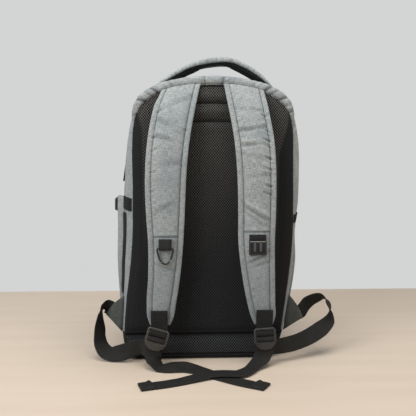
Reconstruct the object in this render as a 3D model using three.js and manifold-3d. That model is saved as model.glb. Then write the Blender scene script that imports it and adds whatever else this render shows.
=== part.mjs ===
// A laptop backpack standing on its base, closed, with its shoulder straps towards the viewer.
// Units are millimetres. +Z is up, the harness side faces -Y, and left and right are as seen facing it.
// The origin is the middle of the base, on the surface that the bag stands on.
import * as THREE from "three";
import { mergeVertices } from "three/addons/utils/BufferGeometryUtils.js";
import Module from "manifold-3d";

const wasm = await Module();
wasm.setup();

// The bag's body
const bodyHeight = 455;
const bodyWidth = 291;
const bodyDepth = 146;
const seamHeight = 429; // top of the back panel's seam
const panelWidth = 249;
const frontWidth = 250;
const frontHeight = 424;
const frontBulge = 12;
const seamLift = 0.8; // the panels' lower seams clear the ground by this much
const clothWall = 2.4;
const baseWall = 3;
const gap = 0.3; // clearance between pieces that touch
const seamStep = 0.015; // the cloth starts this share of an outline row above the base
const leanAcross = 18; // the lower bag sags sideways by this much
const leanFrom = 210;

// The padded back panel and the band below it
const panelPad = 12;
const panelEdge = 4;
const channelHalfWidth = 46;
const channelShare = 0.6; // of the padding, pressed in by a sewn channel
const panelTrim = 1; // cut off the panels' outer edges
const lowerSeam = 40;
const lowerPad = 9;

// Shoulder straps
const padWidth = 60;
const padThickness = 12;
const armGap = 24;

// Webbing and its hardware
const webWidth = 25;
const webThickness = 1.6;
const compressionWidth = 20;
const rightStrapWidth = 12; // gathered to this width
const strapInset = 2; // sewn ends stay this far inside the seams
const patchHeight = 27; // the webbing sewn on each pad's lower end
const slack = 0.9; // room between webbing and what it passes
const lockRim = 3;
const lockBar = 2.8;
const lockThickness = 2.2;
const lockCorner = 3;
const leftLockTurn = -16; // degrees that the buckles hang from upright
const rightLockTurn = 3;
const tongueLength = 12;
const tongueTip = 1.2; // its lower edge bows out by this much
const tailHem = 18;
const hemStep = 1; // length over which a tail doubles to its hem
const lockDrop = 4; // from a strap's end to its buckle
const lockLead = 4; // the webbing enters this far above the tongue's end
const ringWire = 3.2;
const ringWidth = 27;
const ringHeight = 27;
const ringLoopHeight = 13;
const ringLoopFold = 3; // the tab's front layer leaves the wrap this far above the bar
const ringLoopSpare = 2; // between the tab's edges and the ring's legs
const ringBarHeight = 180;
const keeperHeight = 21;
const keeperThickness = 4;
const keeperRim = 3;
const keeperSpare = 0.5; // wider than the webbing on each side
const keeperTop = 190;
const tabHeight = 9;

// The haul handle
const handleSpan = 192;
const handleHeight = 21; // room for the hand under its middle
const handleWidth = 38;
const handleThickness = 6;
const handleLining = 1.6;
const handleDepth = 60;

// Zips, pockets and wings
const zipWidth = 13;
const zipThickness = 1.8;
const zipDepth = 100; // from the back seam to the middle of the main zip
const sideZipGap = 3; // below the compression strap
const sideZipBottom = 100;
const pullLength = 34;
const pullWidth = 7;
const pullThickness = 2.4;
const sideZipWidth = 20;
const sideZipDepth = 17;
const pocketWall = 1.8;
const leftPocketBulge = 9;
const rightPocketBulge = 4.5;
const leftPocketTop = 255;
const rightPocketTop = 212;
const pocketBottom = 46;
const pocketRear = 42;
const pocketFront = 132;
const leftStrapHeight = 241;
const rightStrapHeight = 219;
const releaseLength = 40;
const releaseThickness = 4.5;
const releaseGrip = 2; // its side buttons stand out of the webbing's width by this much
const releaseDepth = 66; // where the release buckle's rear end lies
const wingDepth = 9;
const wingTop = 97;
const wingBottom = 40;
const wingThickness = 2.4;
const wingReach = 31;
const wingHold = 9; // length of webbing sewn behind the wing's tip
const wingSpare = 0.6;
// The wings' tips as shares of wingReach from the wing's top: out of the bag, down and back.
const WING_TIPS = {
  left: { upper: [0.55, -0.41, 0.35], lower: [1, -1.03, 0.5] },
  right: { upper: [0.57, -0.71, 0.35], lower: [0.83, -1.32, 0.5] },
};

// Half outline of the bag from the middle of the base to the middle of the top.
// left, right and rise are shares of half the body's width and of its height at mid depth,
// panelSide and panelRise the same for the back panel's seam.
const OUTLINE = [
  { rise: 0, left: 0, right: 0, panelSide: 0, panelRise: 0 },
  { rise: 0, left: 0.45, right: 0.45, panelSide: 0.45, panelRise: 0 },
  { rise: 0.002, left: 0.72, right: 0.7, panelSide: 0.72, panelRise: 0 },
  { rise: 0.012, left: 0.84, right: 0.81, panelSide: 0.87, panelRise: 0.004 },
  { rise: 0.04, left: 0.885, right: 0.885, panelSide: 0.955, panelRise: 0.035 },
  { rise: 0.09, left: 0.91, right: 0.93, panelSide: 0.985, panelRise: 0.09 },
  { rise: 0.16, left: 0.925, right: 0.965, panelSide: 0.995, panelRise: 0.165 },
  { rise: 0.225, left: 0.945, right: 0.967, panelSide: 1, panelRise: 0.232 },
  { rise: 0.275, left: 0.963, right: 0.968, panelSide: 1, panelRise: 0.285 },
  { rise: 0.345, left: 0.99, right: 0.962, panelSide: 1, panelRise: 0.358 },
  { rise: 0.43, left: 1, right: 0.922, panelSide: 1, panelRise: 0.445 },
  { rise: 0.47, left: 1, right: 0.94, panelSide: 1, panelRise: 0.487 },
  { rise: 0.53, left: 1, right: 0.985, panelSide: 1, panelRise: 0.55 },
  { rise: 0.6, left: 0.996, right: 1, panelSide: 1, panelRise: 0.62 },
  { rise: 0.69, left: 0.985, right: 1, panelSide: 1, panelRise: 0.71 },
  { rise: 0.75, left: 0.957, right: 0.99, panelSide: 1, panelRise: 0.78 },
  { rise: 0.81, left: 0.922, right: 0.965, panelSide: 0.99, panelRise: 0.85 },
  { rise: 0.86, left: 0.88, right: 0.93, panelSide: 0.955, panelRise: 0.895 },
  { rise: 0.9, left: 0.81, right: 0.86, panelSide: 0.87, panelRise: 0.932 },
  { rise: 0.935, left: 0.69, right: 0.74, panelSide: 0.745, panelRise: 0.957 },
  { rise: 0.953, left: 0.605, right: 0.645, panelSide: 0.65, panelRise: 0.972 },
  { rise: 0.972, left: 0.42, right: 0.45, panelSide: 0.47, panelRise: 0.985 },
  { rise: 0.99, left: 0.2, right: 0.22, panelSide: 0.25, panelRise: 0.995 },
  { rise: 1, left: 0, right: 0, panelSide: 0, panelRise: 1 },
];
const BASE_ROW = 5; // the black base ends at this row of the outline
const ZIP_ROW = 13; // the main zip's ends

// How far the sides have swelled from the seam towards the full section, by share of the depth.
const DEPTHS = [
  { depth: 0, swell: 0 },
  { depth: 0.035, swell: 0.3 },
  { depth: 0.1, swell: 0.56 },
  { depth: 0.22, swell: 0.82 },
  { depth: 0.4, swell: 1 },
  { depth: 0.6, swell: 1 },
  { depth: 0.8, swell: 0.88 },
  { depth: 0.92, swell: 0.55 },
  { depth: 1, swell: 0 },
];

// The back panel's padding by height: fill is the share of its full thickness, channel the depth of a
// sewn channel between the shoulder straps.
const PANEL_ROWS = [
  { rise: 0.0, fill: 0.15, channel: 0 },
  { rise: 0.03, fill: 0.8, channel: 0 },
  { rise: 0.14, fill: 1, channel: 0 },
  { rise: 0.3, fill: 1, channel: 0 },
  { rise: 0.46, fill: 1, channel: 0 },
  { rise: 0.62, fill: 1, channel: 0 },
  { rise: 0.75, fill: 1, channel: 0 },
  { rise: 0.82, fill: 1, channel: 0.1 },
  { rise: 0.85, fill: 1, channel: 0.75 },
  { rise: 0.88, fill: 0.98, channel: 0.1 },
  { rise: 0.9, fill: 0.96, channel: 0.1 },
  { rise: 0.922, fill: 0.92, channel: 0.75 },
  { rise: 0.945, fill: 0.85, channel: 0.1 },
  { rise: 0.97, fill: 0.7, channel: 0 },
  { rise: 0.988, fill: 0.35, channel: 0 },
  { rise: 1, fill: 0, channel: 0 },
];
// Padding across the panel, by share of its half width.
const PANEL_COLUMNS = [
  { side: 1, fill: 0 },
  { side: 0.965, fill: 0.7 },
  { side: 0.88, fill: 0.95 },
  { side: 0.6, fill: 1 },
  { side: 0.3, fill: 1 },
  { side: 0, fill: 1 },
];

// The shoulder straps from the seam to the lower end: rise is a share of the seam's height, gap of the
// room for the arm, thick of the padding, the places across of half the panel, the widths of padWidth.
const PAD_ROWS = [
  { rise: 0.985, gap: 0, thick: 0.4, leftAt: -0.402, rightAt: 0.375, leftWide: 1.01, rightWide: 1.04 },
  { rise: 0.94, gap: 0.16, thick: 0.75, leftAt: -0.448, rightAt: 0.398, leftWide: 1.03, rightWide: 1.02 },
  { rise: 0.88, gap: 0.5, thick: 1, leftAt: -0.495, rightAt: 0.43, leftWide: 1.045, rightWide: 1 },
  { rise: 0.787, gap: 0.85, thick: 1, leftAt: -0.548, rightAt: 0.477, leftWide: 1.04, rightWide: 0.995 },
  { rise: 0.69, gap: 1, thick: 1, leftAt: -0.577, rightAt: 0.5, leftWide: 1.02, rightWide: 0.975 },
  { rise: 0.6, gap: 1, thick: 1, leftAt: -0.586, rightAt: 0.508, leftWide: 0.99, rightWide: 0.955 },
  { rise: 0.52, gap: 1, thick: 1, leftAt: -0.585, rightAt: 0.507, leftWide: 0.94, rightWide: 0.94 },
  { rise: 0.445, gap: 1, thick: 0.98, leftAt: -0.583, rightAt: 0.503, leftWide: 0.875, rightWide: 0.915 },
  { rise: 0.317, gap: 1, thick: 0.95, leftAt: -0.603, rightAt: 0.53, leftWide: 0.79, rightWide: 0.82 },
  { rise: 0.221, gap: 0.95, thick: 0.9, leftAt: -0.638, rightAt: 0.565, leftWide: 0.725, rightWide: 0.7 },
  { rise: 0.172, gap: 0.9, thick: 0.85, leftAt: -0.649, rightAt: 0.591, leftWide: 0.64, rightWide: 0.61 },
  { rise: 0.147, gap: 0.9, thick: 0.75, leftAt: -0.653, rightAt: 0.598, leftWide: 0.5, rightWide: 0.48 },
];
// Half section of a padded strap: thicker in the middle, thin at the sewn edges.
const PAD_SECTION = [
  { across: 1, half: 0.28 },
  { across: 0.84, half: 0.62 },
  { across: 0.5, half: 0.94 },
  { across: 0, half: 1 },
];

// The handle's band: across is a share of half its span, lift of its height above the bag.
const HANDLE_ROWS = [
  { across: -0.96, lift: 0.02, thick: 0.45 },
  { across: -0.77, lift: 0.16, thick: 0.85 },
  { across: -0.59, lift: 0.38, thick: 1 },
  { across: -0.41, lift: 0.62, thick: 1 },
  { across: -0.21, lift: 0.77, thick: 1 },
  { across: -0.04, lift: 0.85, thick: 1 },
  { across: 0.13, lift: 1, thick: 1 },
  { across: 0.35, lift: 1.05, thick: 1 },
  { across: 0.54, lift: 0.88, thick: 1 },
  { across: 0.7, lift: 0.66, thick: 1 },
  { across: 0.84, lift: 0.42, thick: 0.85 },
  { across: 1.02, lift: 0.02, thick: 0.45 },
];

// Each side's loop of webbing, from the wing's tip to the buckle: along is the share of the way,
// out a share of loopReach sideways, up of loopRise, back of loopBack, and the last three the
// direction of the webbing's width.
const loopReach = 42;
const loopRise = 42;
const loopBack = 26;
const LEFT_LOOP = [
  { along: 0.02, out: 0.12, up: 0.08, back: 0, w: [-0.6, 0.15, -0.78] },
  { along: 0.05, out: 0.34, up: 0.1, back: 0, w: [-0.35, 0.6, -0.7] },
  { along: 0.1, out: 0.52, up: -0.12, back: 0.02, w: [0.1, 0.95, -0.3] },
  { along: 0.2, out: 0.7, up: -0.5, back: 0.08, w: [0.5, 0.86, 0] },
  { along: 0.32, out: 0.87, up: -0.86, back: 0.1, w: [0.55, 0.8, 0.15] },
  { along: 0.46, out: 0.84, up: -1.02, back: 0.0, w: [0.45, 0.7, 0.5] },
  { along: 0.58, out: 0.6, up: -0.86, back: -0.06, w: [0.2, 0.3, 0.9] },
  { along: 0.7, out: 0.42, up: -0.58, back: -0.02, w: [0.05, -0.1, 0.98] },
  { along: 0.82, out: 0.28, up: -0.3, back: 0.1, w: [-0.3, -0.1, 0.93] },
];
const RIGHT_LOOP = [
  { along: -0.04, out: 0.2, up: 0.28, back: 0, w: [0.35, 0.35, -0.86] },
  { along: -0.02, out: 0.6, up: 0.5, back: 0.02, w: [0.2, 0.6, -0.75] },
  { along: 0.02, out: 0.98, up: 0.54, back: 0.04, w: [0.5, 0.75, -0.45] },
  { along: 0.12, out: 1.3, up: 0.3, back: 0.06, w: [0.3, 0.9, 0.25] },
  { along: 0.24, out: 1.38, up: -0.08, back: 0.04, w: [-0.15, 0.85, 0.5] },
  { along: 0.4, out: 1.12, up: -0.3, back: 0, w: [-0.2, 0.5, 0.85] },
  { along: 0.6, out: 0.78, up: -0.34, back: -0.02, w: [-0.1, 0.15, 0.98] },
  { along: 0.8, out: 0.5, up: -0.24, back: 0.02, w: [0.05, 0.05, 1] },
];
// The free tails on the ground: across and front are shares of tailReach from the buckle's lower end
// (front is towards the viewer), up a share of the drop from there to the ground, lay how many layers
// of webbing lie below.
const tailReach = 160;
const LEFT_TAIL = [
  { across: 0, front: 0.003, up: 0.62, lay: 0, w: [0.95, 0.05, -0.3] },
  { across: 0.02, front: 0.02, up: 0.33, lay: 0, w: [0.8, 0.5, -0.3] },
  { across: 0.06, front: 0.05, up: 0.12, lay: 0, w: [0.35, 0.9, 0.1] },
  { across: 0.15, front: 0.08, up: 0, lay: 0.3, w: [0, 0.95, 0.25] },
  { across: 0.29, front: 0.075, up: 0, lay: 0, w: [0.05, 0.95, 0.3] },
  { across: 0.425, front: 0.13, up: 0, lay: 0, w: [0.4, 0.92, 0.1] },
  { across: 0.55, front: 0.23, up: 0, lay: 0, w: [0.6, 0.8, 0] },
  { across: 0.675, front: 0.33, up: 0, lay: 0, w: [0.6, 0.8, 0] },
  { across: 0.78, front: 0.41, up: 0, lay: 0, w: [0.55, 0.84, 0] },
  { across: 0.88, front: 0.47, up: 0, lay: 0, w: [0.5, 0.87, 0] },
];
const RIGHT_TAIL = [
  { across: -0.025, front: 0.005, up: 0.65, lay: 0, w: [0.98, -0.1, 0.05] },
  { across: -0.075, front: 0.03, up: 0.33, lay: 0, w: [0.85, -0.5, 0.1] },
  { across: -0.145, front: 0.095, up: 0.1, lay: 0.2, w: [0.65, -0.75, 0.1] },
  { across: -0.21, front: 0.19, up: 0, lay: 1, w: [0.6, -0.8, 0.05] },
  { across: -0.275, front: 0.25, up: 0, lay: 1.6, w: [0.4, -0.9, 0] },
  { across: -0.39, front: 0.245, up: 0, lay: 1.7, w: [0.05, -1, 0] },
  { across: -0.52, front: 0.255, up: 0, lay: 1.6, w: [0.2, -0.98, 0] },
  { across: -0.655, front: 0.31, up: 0, lay: 0.9, w: [0.4, -0.92, 0] },
  { across: -0.79, front: 0.37, up: 0, lay: 0, w: [0.4, -0.92, 0] },
  { across: -0.91, front: 0.42, up: 0, lay: 0, w: [0.38, -0.92, 0] },
  { across: -1.02, front: 0.455, up: 0, lay: 0, w: [0.36, -0.93, 0] },
];

const seamY = -bodyDepth / 2;
const frontY = bodyDepth / 2;
const vec = (x, y, z) => new THREE.Vector3(x, y, z);
const mix = THREE.MathUtils.lerp;

// Reads a table by its first column, straight between rows.
function readTable(rows, key, at, column) {
  let i = 1;
  while (i < rows.length - 1 && (rows[i][key] - at) * Math.sign(rows[1][key] - rows[0][key]) < 0) i += 1;
  const a = rows[i - 1];
  const b = rows[i];
  const share = THREE.MathUtils.clamp((at - a[key]) / (b[key] - a[key]), 0, 1);
  return mix(a[column], b[column], share);
}

// The lower bag leans to the left.
function leaned(point) {
  const share = THREE.MathUtils.clamp(1 - point.z / leanFrom, 0, 1);
  point.x -= leanAcross * share * share * (3 - 2 * share);
  return point;
}

// Index triangles of a body whose surface is a grid of points: rows of equal length, closed round each
// row, and capped at both ends or closed from the last row to the first.
function tubeGeometry(rows, ringClosed = false) {
  const wide = rows[0].length;
  const points = rows.flat();
  const index = [];
  const last = ringClosed ? rows.length : rows.length - 1;
  for (let i = 0; i < last; i += 1) {
    const next = (i + 1) % rows.length;
    for (let j = 0; j < wide; j += 1) {
      const k = (j + 1) % wide;
      index.push(i * wide + j, i * wide + k, next * wide + k);
      index.push(i * wide + j, next * wide + k, next * wide + j);
    }
  }
  if (!ringClosed) {
    for (const [row, flip] of [[0, true], [rows.length - 1, false]]) {
      const outline = rows[row];
      const flat = flatten(outline);
      for (const face of THREE.ShapeUtils.triangulateShape(flat, [])) {
        const turned = THREE.ShapeUtils.isClockWise(flat) === flip ? face : [...face].reverse();
        index.push(...turned.map((j) => row * wide + j));
      }
    }
  }
  return outward(points, index);
}

// An outline's points in its own plane, for a cap.
function flatten(outline) {
  const centre = outline.reduce((sum, p) => sum.add(p), vec(0, 0, 0)).divideScalar(outline.length);
  const normal = vec(0, 0, 0);
  outline.forEach((p, i) => {
    const q = outline[(i + 1) % outline.length];
    normal.add(p.clone().sub(centre).cross(q.clone().sub(centre)));
  });
  normal.normalize();
  const u = outline[0].clone().sub(centre).normalize();
  const v = normal.clone().cross(u);
  return outline.map((p) => new THREE.Vector2(p.clone().sub(centre).dot(u), p.clone().sub(centre).dot(v)));
}

// A closed geometry with its faces turned outwards.
function outward(points, index) {
  let volume = 0;
  for (let i = 0; i < index.length; i += 3) {
    const [a, b, c] = [points[index[i]], points[index[i + 1]], points[index[i + 2]]];
    volume += a.dot(b.clone().cross(c));
  }
  const faces = volume < 0 ? [...index].reverse() : index;
  const geometry = new THREE.BufferGeometry().setFromPoints(points);
  geometry.setIndex(faces);
  geometry.computeVertexNormals();
  return geometry;
}

// A sheet with two faces, given as two grids of points with the same rows and columns.
function sheetGeometry(outer, inner) {
  const rows = outer.length;
  const wide = outer[0].length;
  const points = [...outer.flat(), ...inner.flat()];
  const back = rows * wide;
  const index = [];
  for (let i = 0; i < rows - 1; i += 1) {
    for (let j = 0; j < wide - 1; j += 1) {
      const [a, b, c, d] = [i * wide + j, i * wide + j + 1, (i + 1) * wide + j + 1, (i + 1) * wide + j];
      index.push(a, b, c, a, c, d);
      index.push(back + a, back + c, back + b, back + a, back + d, back + c);
    }
  }
  const rim = [];
  for (let j = 0; j < wide; j += 1) rim.push(j);
  for (let i = 1; i < rows; i += 1) rim.push(i * wide + wide - 1);
  for (let j = wide - 2; j >= 0; j -= 1) rim.push((rows - 1) * wide + j);
  for (let i = rows - 2; i > 0; i -= 1) rim.push(i * wide);
  rim.forEach((a, n) => {
    const b = rim[(n + 1) % rim.length];
    index.push(b, a, back + a, b, back + a, back + b);
  });
  return outward(points, index);
}

// The outline's point in the XZ plane, unleaned: row counts the outline's rows and may fall between
// two, side is -1 or 1, and offset moves it out along the outline's own normal.
function ringPoint(row, side, depth, offset = 0) {
  const at = (r) => {
    const low = Math.min(Math.floor(r), OUTLINE.length - 2);
    const share = r - low;
    const pick = (column) => mix(OUTLINE[low][column], OUTLINE[low + 1][column], share);
    const swell = readTable(DEPTHS, "depth", depth / bodyDepth, "swell");
    const rear = depth / bodyDepth <= 0.5;
    const across = pick(side < 0 ? "left" : "right");
    const full = vec((across * bodyWidth) / 2, 0, pick("rise") * bodyHeight);
    const panel = vec((pick("panelSide") * panelWidth) / 2, 0, mix(seamLift, seamHeight, pick("panelRise")));
    const front = vec((across * frontWidth) / 2, 0, mix(seamLift, frontHeight, pick("rise")));
    return (rear ? panel : front).lerp(full, swell);
  };
  const here = at(row);
  if (offset !== 0) {
    const step = 0.5;
    const before = at(Math.max(row - step, 0));
    const after = at(Math.min(row + step, OUTLINE.length - 1));
    const run = after.sub(before);
    if (row + step >= OUTLINE.length - 1) run.set(-1, 0, 0);
    if (row - step <= 0) run.set(1, 0, 0);
    here.add(vec(run.z, 0, -run.x).normalize().multiplyScalar(offset));
  }
  return vec(side * here.x, seamY + depth, here.z);
}

// The same point on the leaned bag.
const bodyPoint = (row, side, depth, offset = 0) => leaned(ringPoint(row, side, depth, offset));

// The outline row at which the side reaches a height.
function rowAtHeight(height, side, depth) {
  let row = BASE_ROW - 2;
  while (row < OUTLINE.length - 1.02 && ringPoint(row, side, depth).z < height) row += 0.02;
  return row;
}

// The height of the bag's top above a place across it.
function topAt(across, depth) {
  const side = Math.sign(across) || 1;
  let row = OUTLINE.length - 1;
  while (row > BASE_ROW && side * ringPoint(row, side, depth).x < Math.abs(across)) row -= 0.02;
  return ringPoint(row, side, depth).z;
}

// Half width of the back panel at a height.
function panelHalf(height) {
  const rise = (height - seamLift) / (seamHeight - seamLift);
  const rows = OUTLINE.slice(2);
  return (readTable(rows, "panelRise", rise, "panelSide") * panelWidth) / 2;
}

// How far the back panel's padding stands out of the seam's plane.
function panelOut(across, height) {
  const rise = (height - lowerSeam) / (seamHeight - lowerSeam);
  const side = Math.min(Math.abs(across) / Math.max(panelHalf(height), 1), 1);
  const down = readTable(PANEL_ROWS, "rise", rise, "fill");
  const round = readTable(PANEL_COLUMNS, "side", side, "fill");
  const sewn = readTable(PANEL_ROWS, "rise", rise, "channel");
  const channel = Math.abs(across) < channelHalfWidth ? sewn * (panelPad - panelEdge) * channelShare : 0;
  return panelEdge + (panelPad - panelEdge) * down * round - channel * round;
}

// A closed geometry as a solid that can be cut, and a solid as a geometry.
function solidOf(geometry) {
  const bare = new THREE.BufferGeometry().setAttribute("position", geometry.getAttribute("position"));
  if (geometry.index) bare.setIndex(geometry.index);
  const merged = mergeVertices(bare, 1e-3);
  return new wasm.Manifold(new wasm.Mesh({
    numProp: 3,
    vertProperties: new Float32Array(merged.getAttribute("position").array),
    triVerts: new Uint32Array(merged.index.array),
  }));
}
function geometryOf(solid) {
  const mesh = solid.getMesh();
  const geometry = new THREE.BufferGeometry();
  geometry.setAttribute("position", new THREE.BufferAttribute(mesh.vertProperties, 3));
  geometry.setIndex(new THREE.BufferAttribute(mesh.triVerts, 1));
  geometry.computeVertexNormals();
  return geometry;
}

// A plate in the XY plane, hung down from y = 0, with windows cut through it between two depths.
function windowedPlate(outline, thickness, halfWindow, windows) {
  let plate = solidOf(new THREE.ExtrudeGeometry(outline, { depth: thickness, bevelEnabled: false }));
  for (const [from, to] of windows) {
    const cutter = new THREE.BoxGeometry(2 * halfWindow, to - from, 3 * thickness);
    cutter.translate(0, -(from + to) / 2, thickness / 2);
    plate = plate.subtract(solidOf(cutter));
  }
  return geometryOf(plate);
}

const root = new THREE.Group();

const FINISHES = {
  greyCloth: { color: 0x969b9a, roughness: 0.92, metalness: 0 },
  blackCloth: { color: 0x232322, roughness: 0.9, metalness: 0 },
  airMesh: { color: 0x2c2a28, roughness: 0.95, metalness: 0 },
  webbing: { color: 0x34332f, roughness: 0.8, metalness: 0 },
  plastic: { color: 0x2a2a2b, roughness: 0.45, metalness: 0 },
  metal: { color: 0x3a3a3c, roughness: 0.3, metalness: 0.9 },
};

function addPiece(name, geometry, finish) {
  const mesh = new THREE.Mesh(geometry, new THREE.MeshStandardMaterial(FINISHES[finish]));
  mesh.name = name;
  root.add(mesh);
  return mesh;
}

// The depths at which the body's sheets have a row of points.
const depthRows = () => {
  const own = DEPTHS.map((row) => row.depth * bodyDepth);
  const zip = [zipDepth - zipWidth / 2, zipDepth + zipWidth / 2];
  return [...own, ...zip].sort((a, b) => a - b);
};

// The outline's stations from one row on the left, over the top, to the same row on the right.
function arch(fromRow) {
  const rows = [fromRow];
  for (let row = Math.floor(fromRow) + 1; row < OUTLINE.length; row += 1) rows.push(row);
  const left = rows.map((row) => ({ row, side: -1 }));
  const right = rows.slice(0, -1).reverse().map((row) => ({ row, side: 1 }));
  return [...left, ...right];
}

function makeGusset() {
  const start = BASE_ROW + seamStep;
  const stations = arch(start);
  const depths = depthRows();
  const grid = (offset) => depths.map((depth) => {
    const held = THREE.MathUtils.clamp(depth, gap, bodyDepth - gap);
    return stations.map(({ row, side }) => bodyPoint(row, side, held, offset));
  });
  addPiece("gusset", sheetGeometry(grid(0), grid(-clothWall)), "greyCloth");
}

function makeBase() {
  const rows = [];
  for (let row = 0; row <= BASE_ROW; row += 1) rows.push(row);
  const stations = [
    ...rows.slice(1).reverse().map((row) => ({ row, side: -1 })),
    ...rows.map((row) => ({ row, side: 1 })),
  ];
  const depths = DEPTHS.map((row) => THREE.MathUtils.clamp(row.depth * bodyDepth, gap, bodyDepth - gap));
  const grid = (offset) => depths.map((depth) => (
    stations.map(({ row, side }) => bodyPoint(row, side, depth, offset))
  ));
  addPiece("base", sheetGeometry(grid(0), grid(-baseWall)), "blackCloth");
}

// A closed bulging panel over the front seam, hollow behind.
function makeFrontPanel() {
  const rings = [
    { scale: 1, bulge: 0 },
    { scale: 0.9, bulge: 0.55 },
    { scale: 0.7, bulge: 0.88 },
    { scale: 0.4, bulge: 1 },
  ];
  const whole = [];
  for (let row = 0; row < OUTLINE.length; row += 1) whole.push({ row, side: 1 });
  for (let row = OUTLINE.length - 2; row > 0; row -= 1) whole.push({ row, side: -1 });
  const middle = frontHeight / 2;
  const face = (offset) => rings.map(({ scale, bulge }) => whole.map(({ row, side }) => {
    const p = ringPoint(row, side, bodyDepth);
    const z = middle + (p.z - middle) * scale;
    return leaned(vec(p.x * scale, frontY + offset + bulge * frontBulge, z));
  }));
  const outer = face(clothWall);
  const inner = face(0).reverse();
  addPiece("front_panel", tubeGeometry([...inner, ...outer]), "greyCloth");
}

// The padded panel as a grid over the seam's outline.
function makeBackPanel() {
  const columns = [];
  for (const { side } of PANEL_COLUMNS) columns.push(-side);
  for (const { side } of PANEL_COLUMNS.slice(0, -1).reverse()) columns.push(side);
  const heights = PANEL_ROWS.slice(0, -1).map(({ rise }) => mix(lowerSeam + gap, seamHeight, rise));
  heights.push(seamHeight - panelTrim);
  const at = (height, side, out) => {
    const across = side * panelHalf(height);
    return leaned(vec(across, seamY - out(across, height), height));
  };
  const outer = heights.map((height) => columns.map((side) => at(height, side, panelOut)));
  const inner = heights.map((height) => columns.map((side) => at(height, side, () => 0)));
  addPiece("back_panel", sheetGeometry(outer, inner), "airMesh");
}

function makeLowerBand() {
  const rows = [
    { rise: 0, fill: 0.45 },
    { rise: 0.2, fill: 0.9 },
    { rise: 0.6, fill: 1 },
    { rise: 0.9, fill: 0.75 },
    { rise: 1, fill: 0.4 },
  ];
  const bottom = seamLift + panelTrim;
  const sides = [-1, -0.94, -0.8, -0.4, 0, 0.4, 0.8, 0.94, 1];
  const at = (height, side, out) => {
    const across = side * panelHalf(height);
    return leaned(vec(across, seamY - out, height));
  };
  const heights = rows.map(({ rise }) => mix(bottom, lowerSeam - gap, rise));
  const outer = rows.map(({ fill }, i) => sides.map((side) => {
    const round = Math.abs(side) === 1 ? 0.4 : 1;
    return at(heights[i], side, lowerPad * fill * round);
  }));
  const inner = rows.map((row, i) => sides.map((side) => at(heights[i], side, 0)));
  addPiece("lower_band", sheetGeometry(outer, inner), "airMesh");
}

// The values of a list that lie between two ends, with the ends.
const between = (from, to, list) => [from, ...list.filter((v) => v > from + 0.01 && v < to - 0.01), to];
const outlineRows = OUTLINE.map((row, i) => i);

// A strip that lies on the body's surface between two depths and two rows of one side.
function surfaceStrip(stations, depths, thickness, bulge = () => 0) {
  const grid = (base) => depths.map((depth) => stations.map(({ row, side }) => (
    bodyPoint(row, side, depth, gap + bulge(depth, row) + base)
  )));
  return sheetGeometry(grid(thickness), grid(0));
}

function makeMainZip() {
  const depths = between(zipDepth - zipWidth / 2, zipDepth + zipWidth / 2, depthRows());
  addPiece("main_zip", surfaceStrip(arch(ZIP_ROW), depths, zipThickness), "blackCloth");
}

// A zip slider with its hanging pull, on the zip at a station.
function makePull(name, row, side) {
  const outline = new THREE.Shape();
  const half = pullWidth / 2;
  outline.moveTo(-half, 0);
  outline.lineTo(half, 0);
  outline.lineTo(half, -pullLength + half);
  outline.absarc(0, -pullLength + half, half, 0, -Math.PI, true);
  outline.lineTo(-half, 0);
  const settings = { depth: pullThickness, bevelEnabled: false, curveSegments: 4 };
  const geometry = new THREE.ExtrudeGeometry(outline, settings);
  const mesh = addPiece(name, geometry, "plastic");
  const place = bodyPoint(row, side, zipDepth, gap + zipThickness + gap);
  const above = bodyPoint(row + 0.5, side, zipDepth, gap + zipThickness + gap);
  const up = above.sub(place).normalize();
  const along = vec(0, side, 0);
  const out = along.clone().cross(up).normalize();
  mesh.matrixAutoUpdate = false;
  mesh.matrix.makeBasis(along, up, out).setPosition(place);
}

// The outline's rows of one side between two heights, as stations.
function sideStations(side, from, to, depth) {
  const rows = between(rowAtHeight(from, side, depth), rowAtHeight(to, side, depth), outlineRows);
  return rows.map((row) => ({ row, side }));
}

function makeSideZip() {
  const depths = between(sideZipDepth, sideZipDepth + sideZipWidth, depthRows());
  const top = leftStrapHeight - compressionWidth / 2 - sideZipGap;
  const stations = sideStations(-1, sideZipBottom, top, sideZipDepth);
  addPiece("side_zip", surfaceStrip(stations, depths, zipThickness), "blackCloth");
}

// A pocket's outer cloth: sewn down at the rear, the front and the bottom, standing off at the mouth.
const POCKET_RISE = [
  { up: 0, stand: 0 }, { up: 0.12, stand: 0.4 }, { up: 0.35, stand: 0.8 },
  { up: 0.7, stand: 1 }, { up: 1, stand: 0.95 },
];
const POCKET_RUN = [
  { along: 0, stand: 0 }, { along: 0.07, stand: 0.8 }, { along: 0.2, stand: 1 },
  { along: 0.8, stand: 1 }, { along: 0.93, stand: 0.8 }, { along: 1, stand: 0 },
];
// A pocket's own measures: the rows of its mouth and bottom, and how far it stands off at a place.
function pocketShape(side, top, bulge) {
  const own = POCKET_RUN.map(({ along }) => mix(pocketRear, pocketFront, along));
  const depths = [...own, ...depthRows().filter((depth) => depth > pocketRear && depth < pocketFront)];
  const stations = sideStations(side, pocketBottom, top, (pocketRear + pocketFront) / 2);
  const low = stations[0].row;
  const high = stations[stations.length - 1].row;
  const stand = (depth, row) => {
    const along = (depth - pocketRear) / (pocketFront - pocketRear);
    const up = (row - low) / (high - low);
    return bulge * readTable(POCKET_RUN, "along", along, "stand") * readTable(POCKET_RISE, "up", up, "stand");
  };
  return { depths: depths.sort((a, b) => a - b), stations, stand };
}

function makePocket(name, side, top, bulge) {
  const { depths, stations, stand } = pocketShape(side, top, bulge);
  addPiece(name, surfaceStrip(stations, depths, pocketWall, stand), "greyCloth");
}

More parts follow.
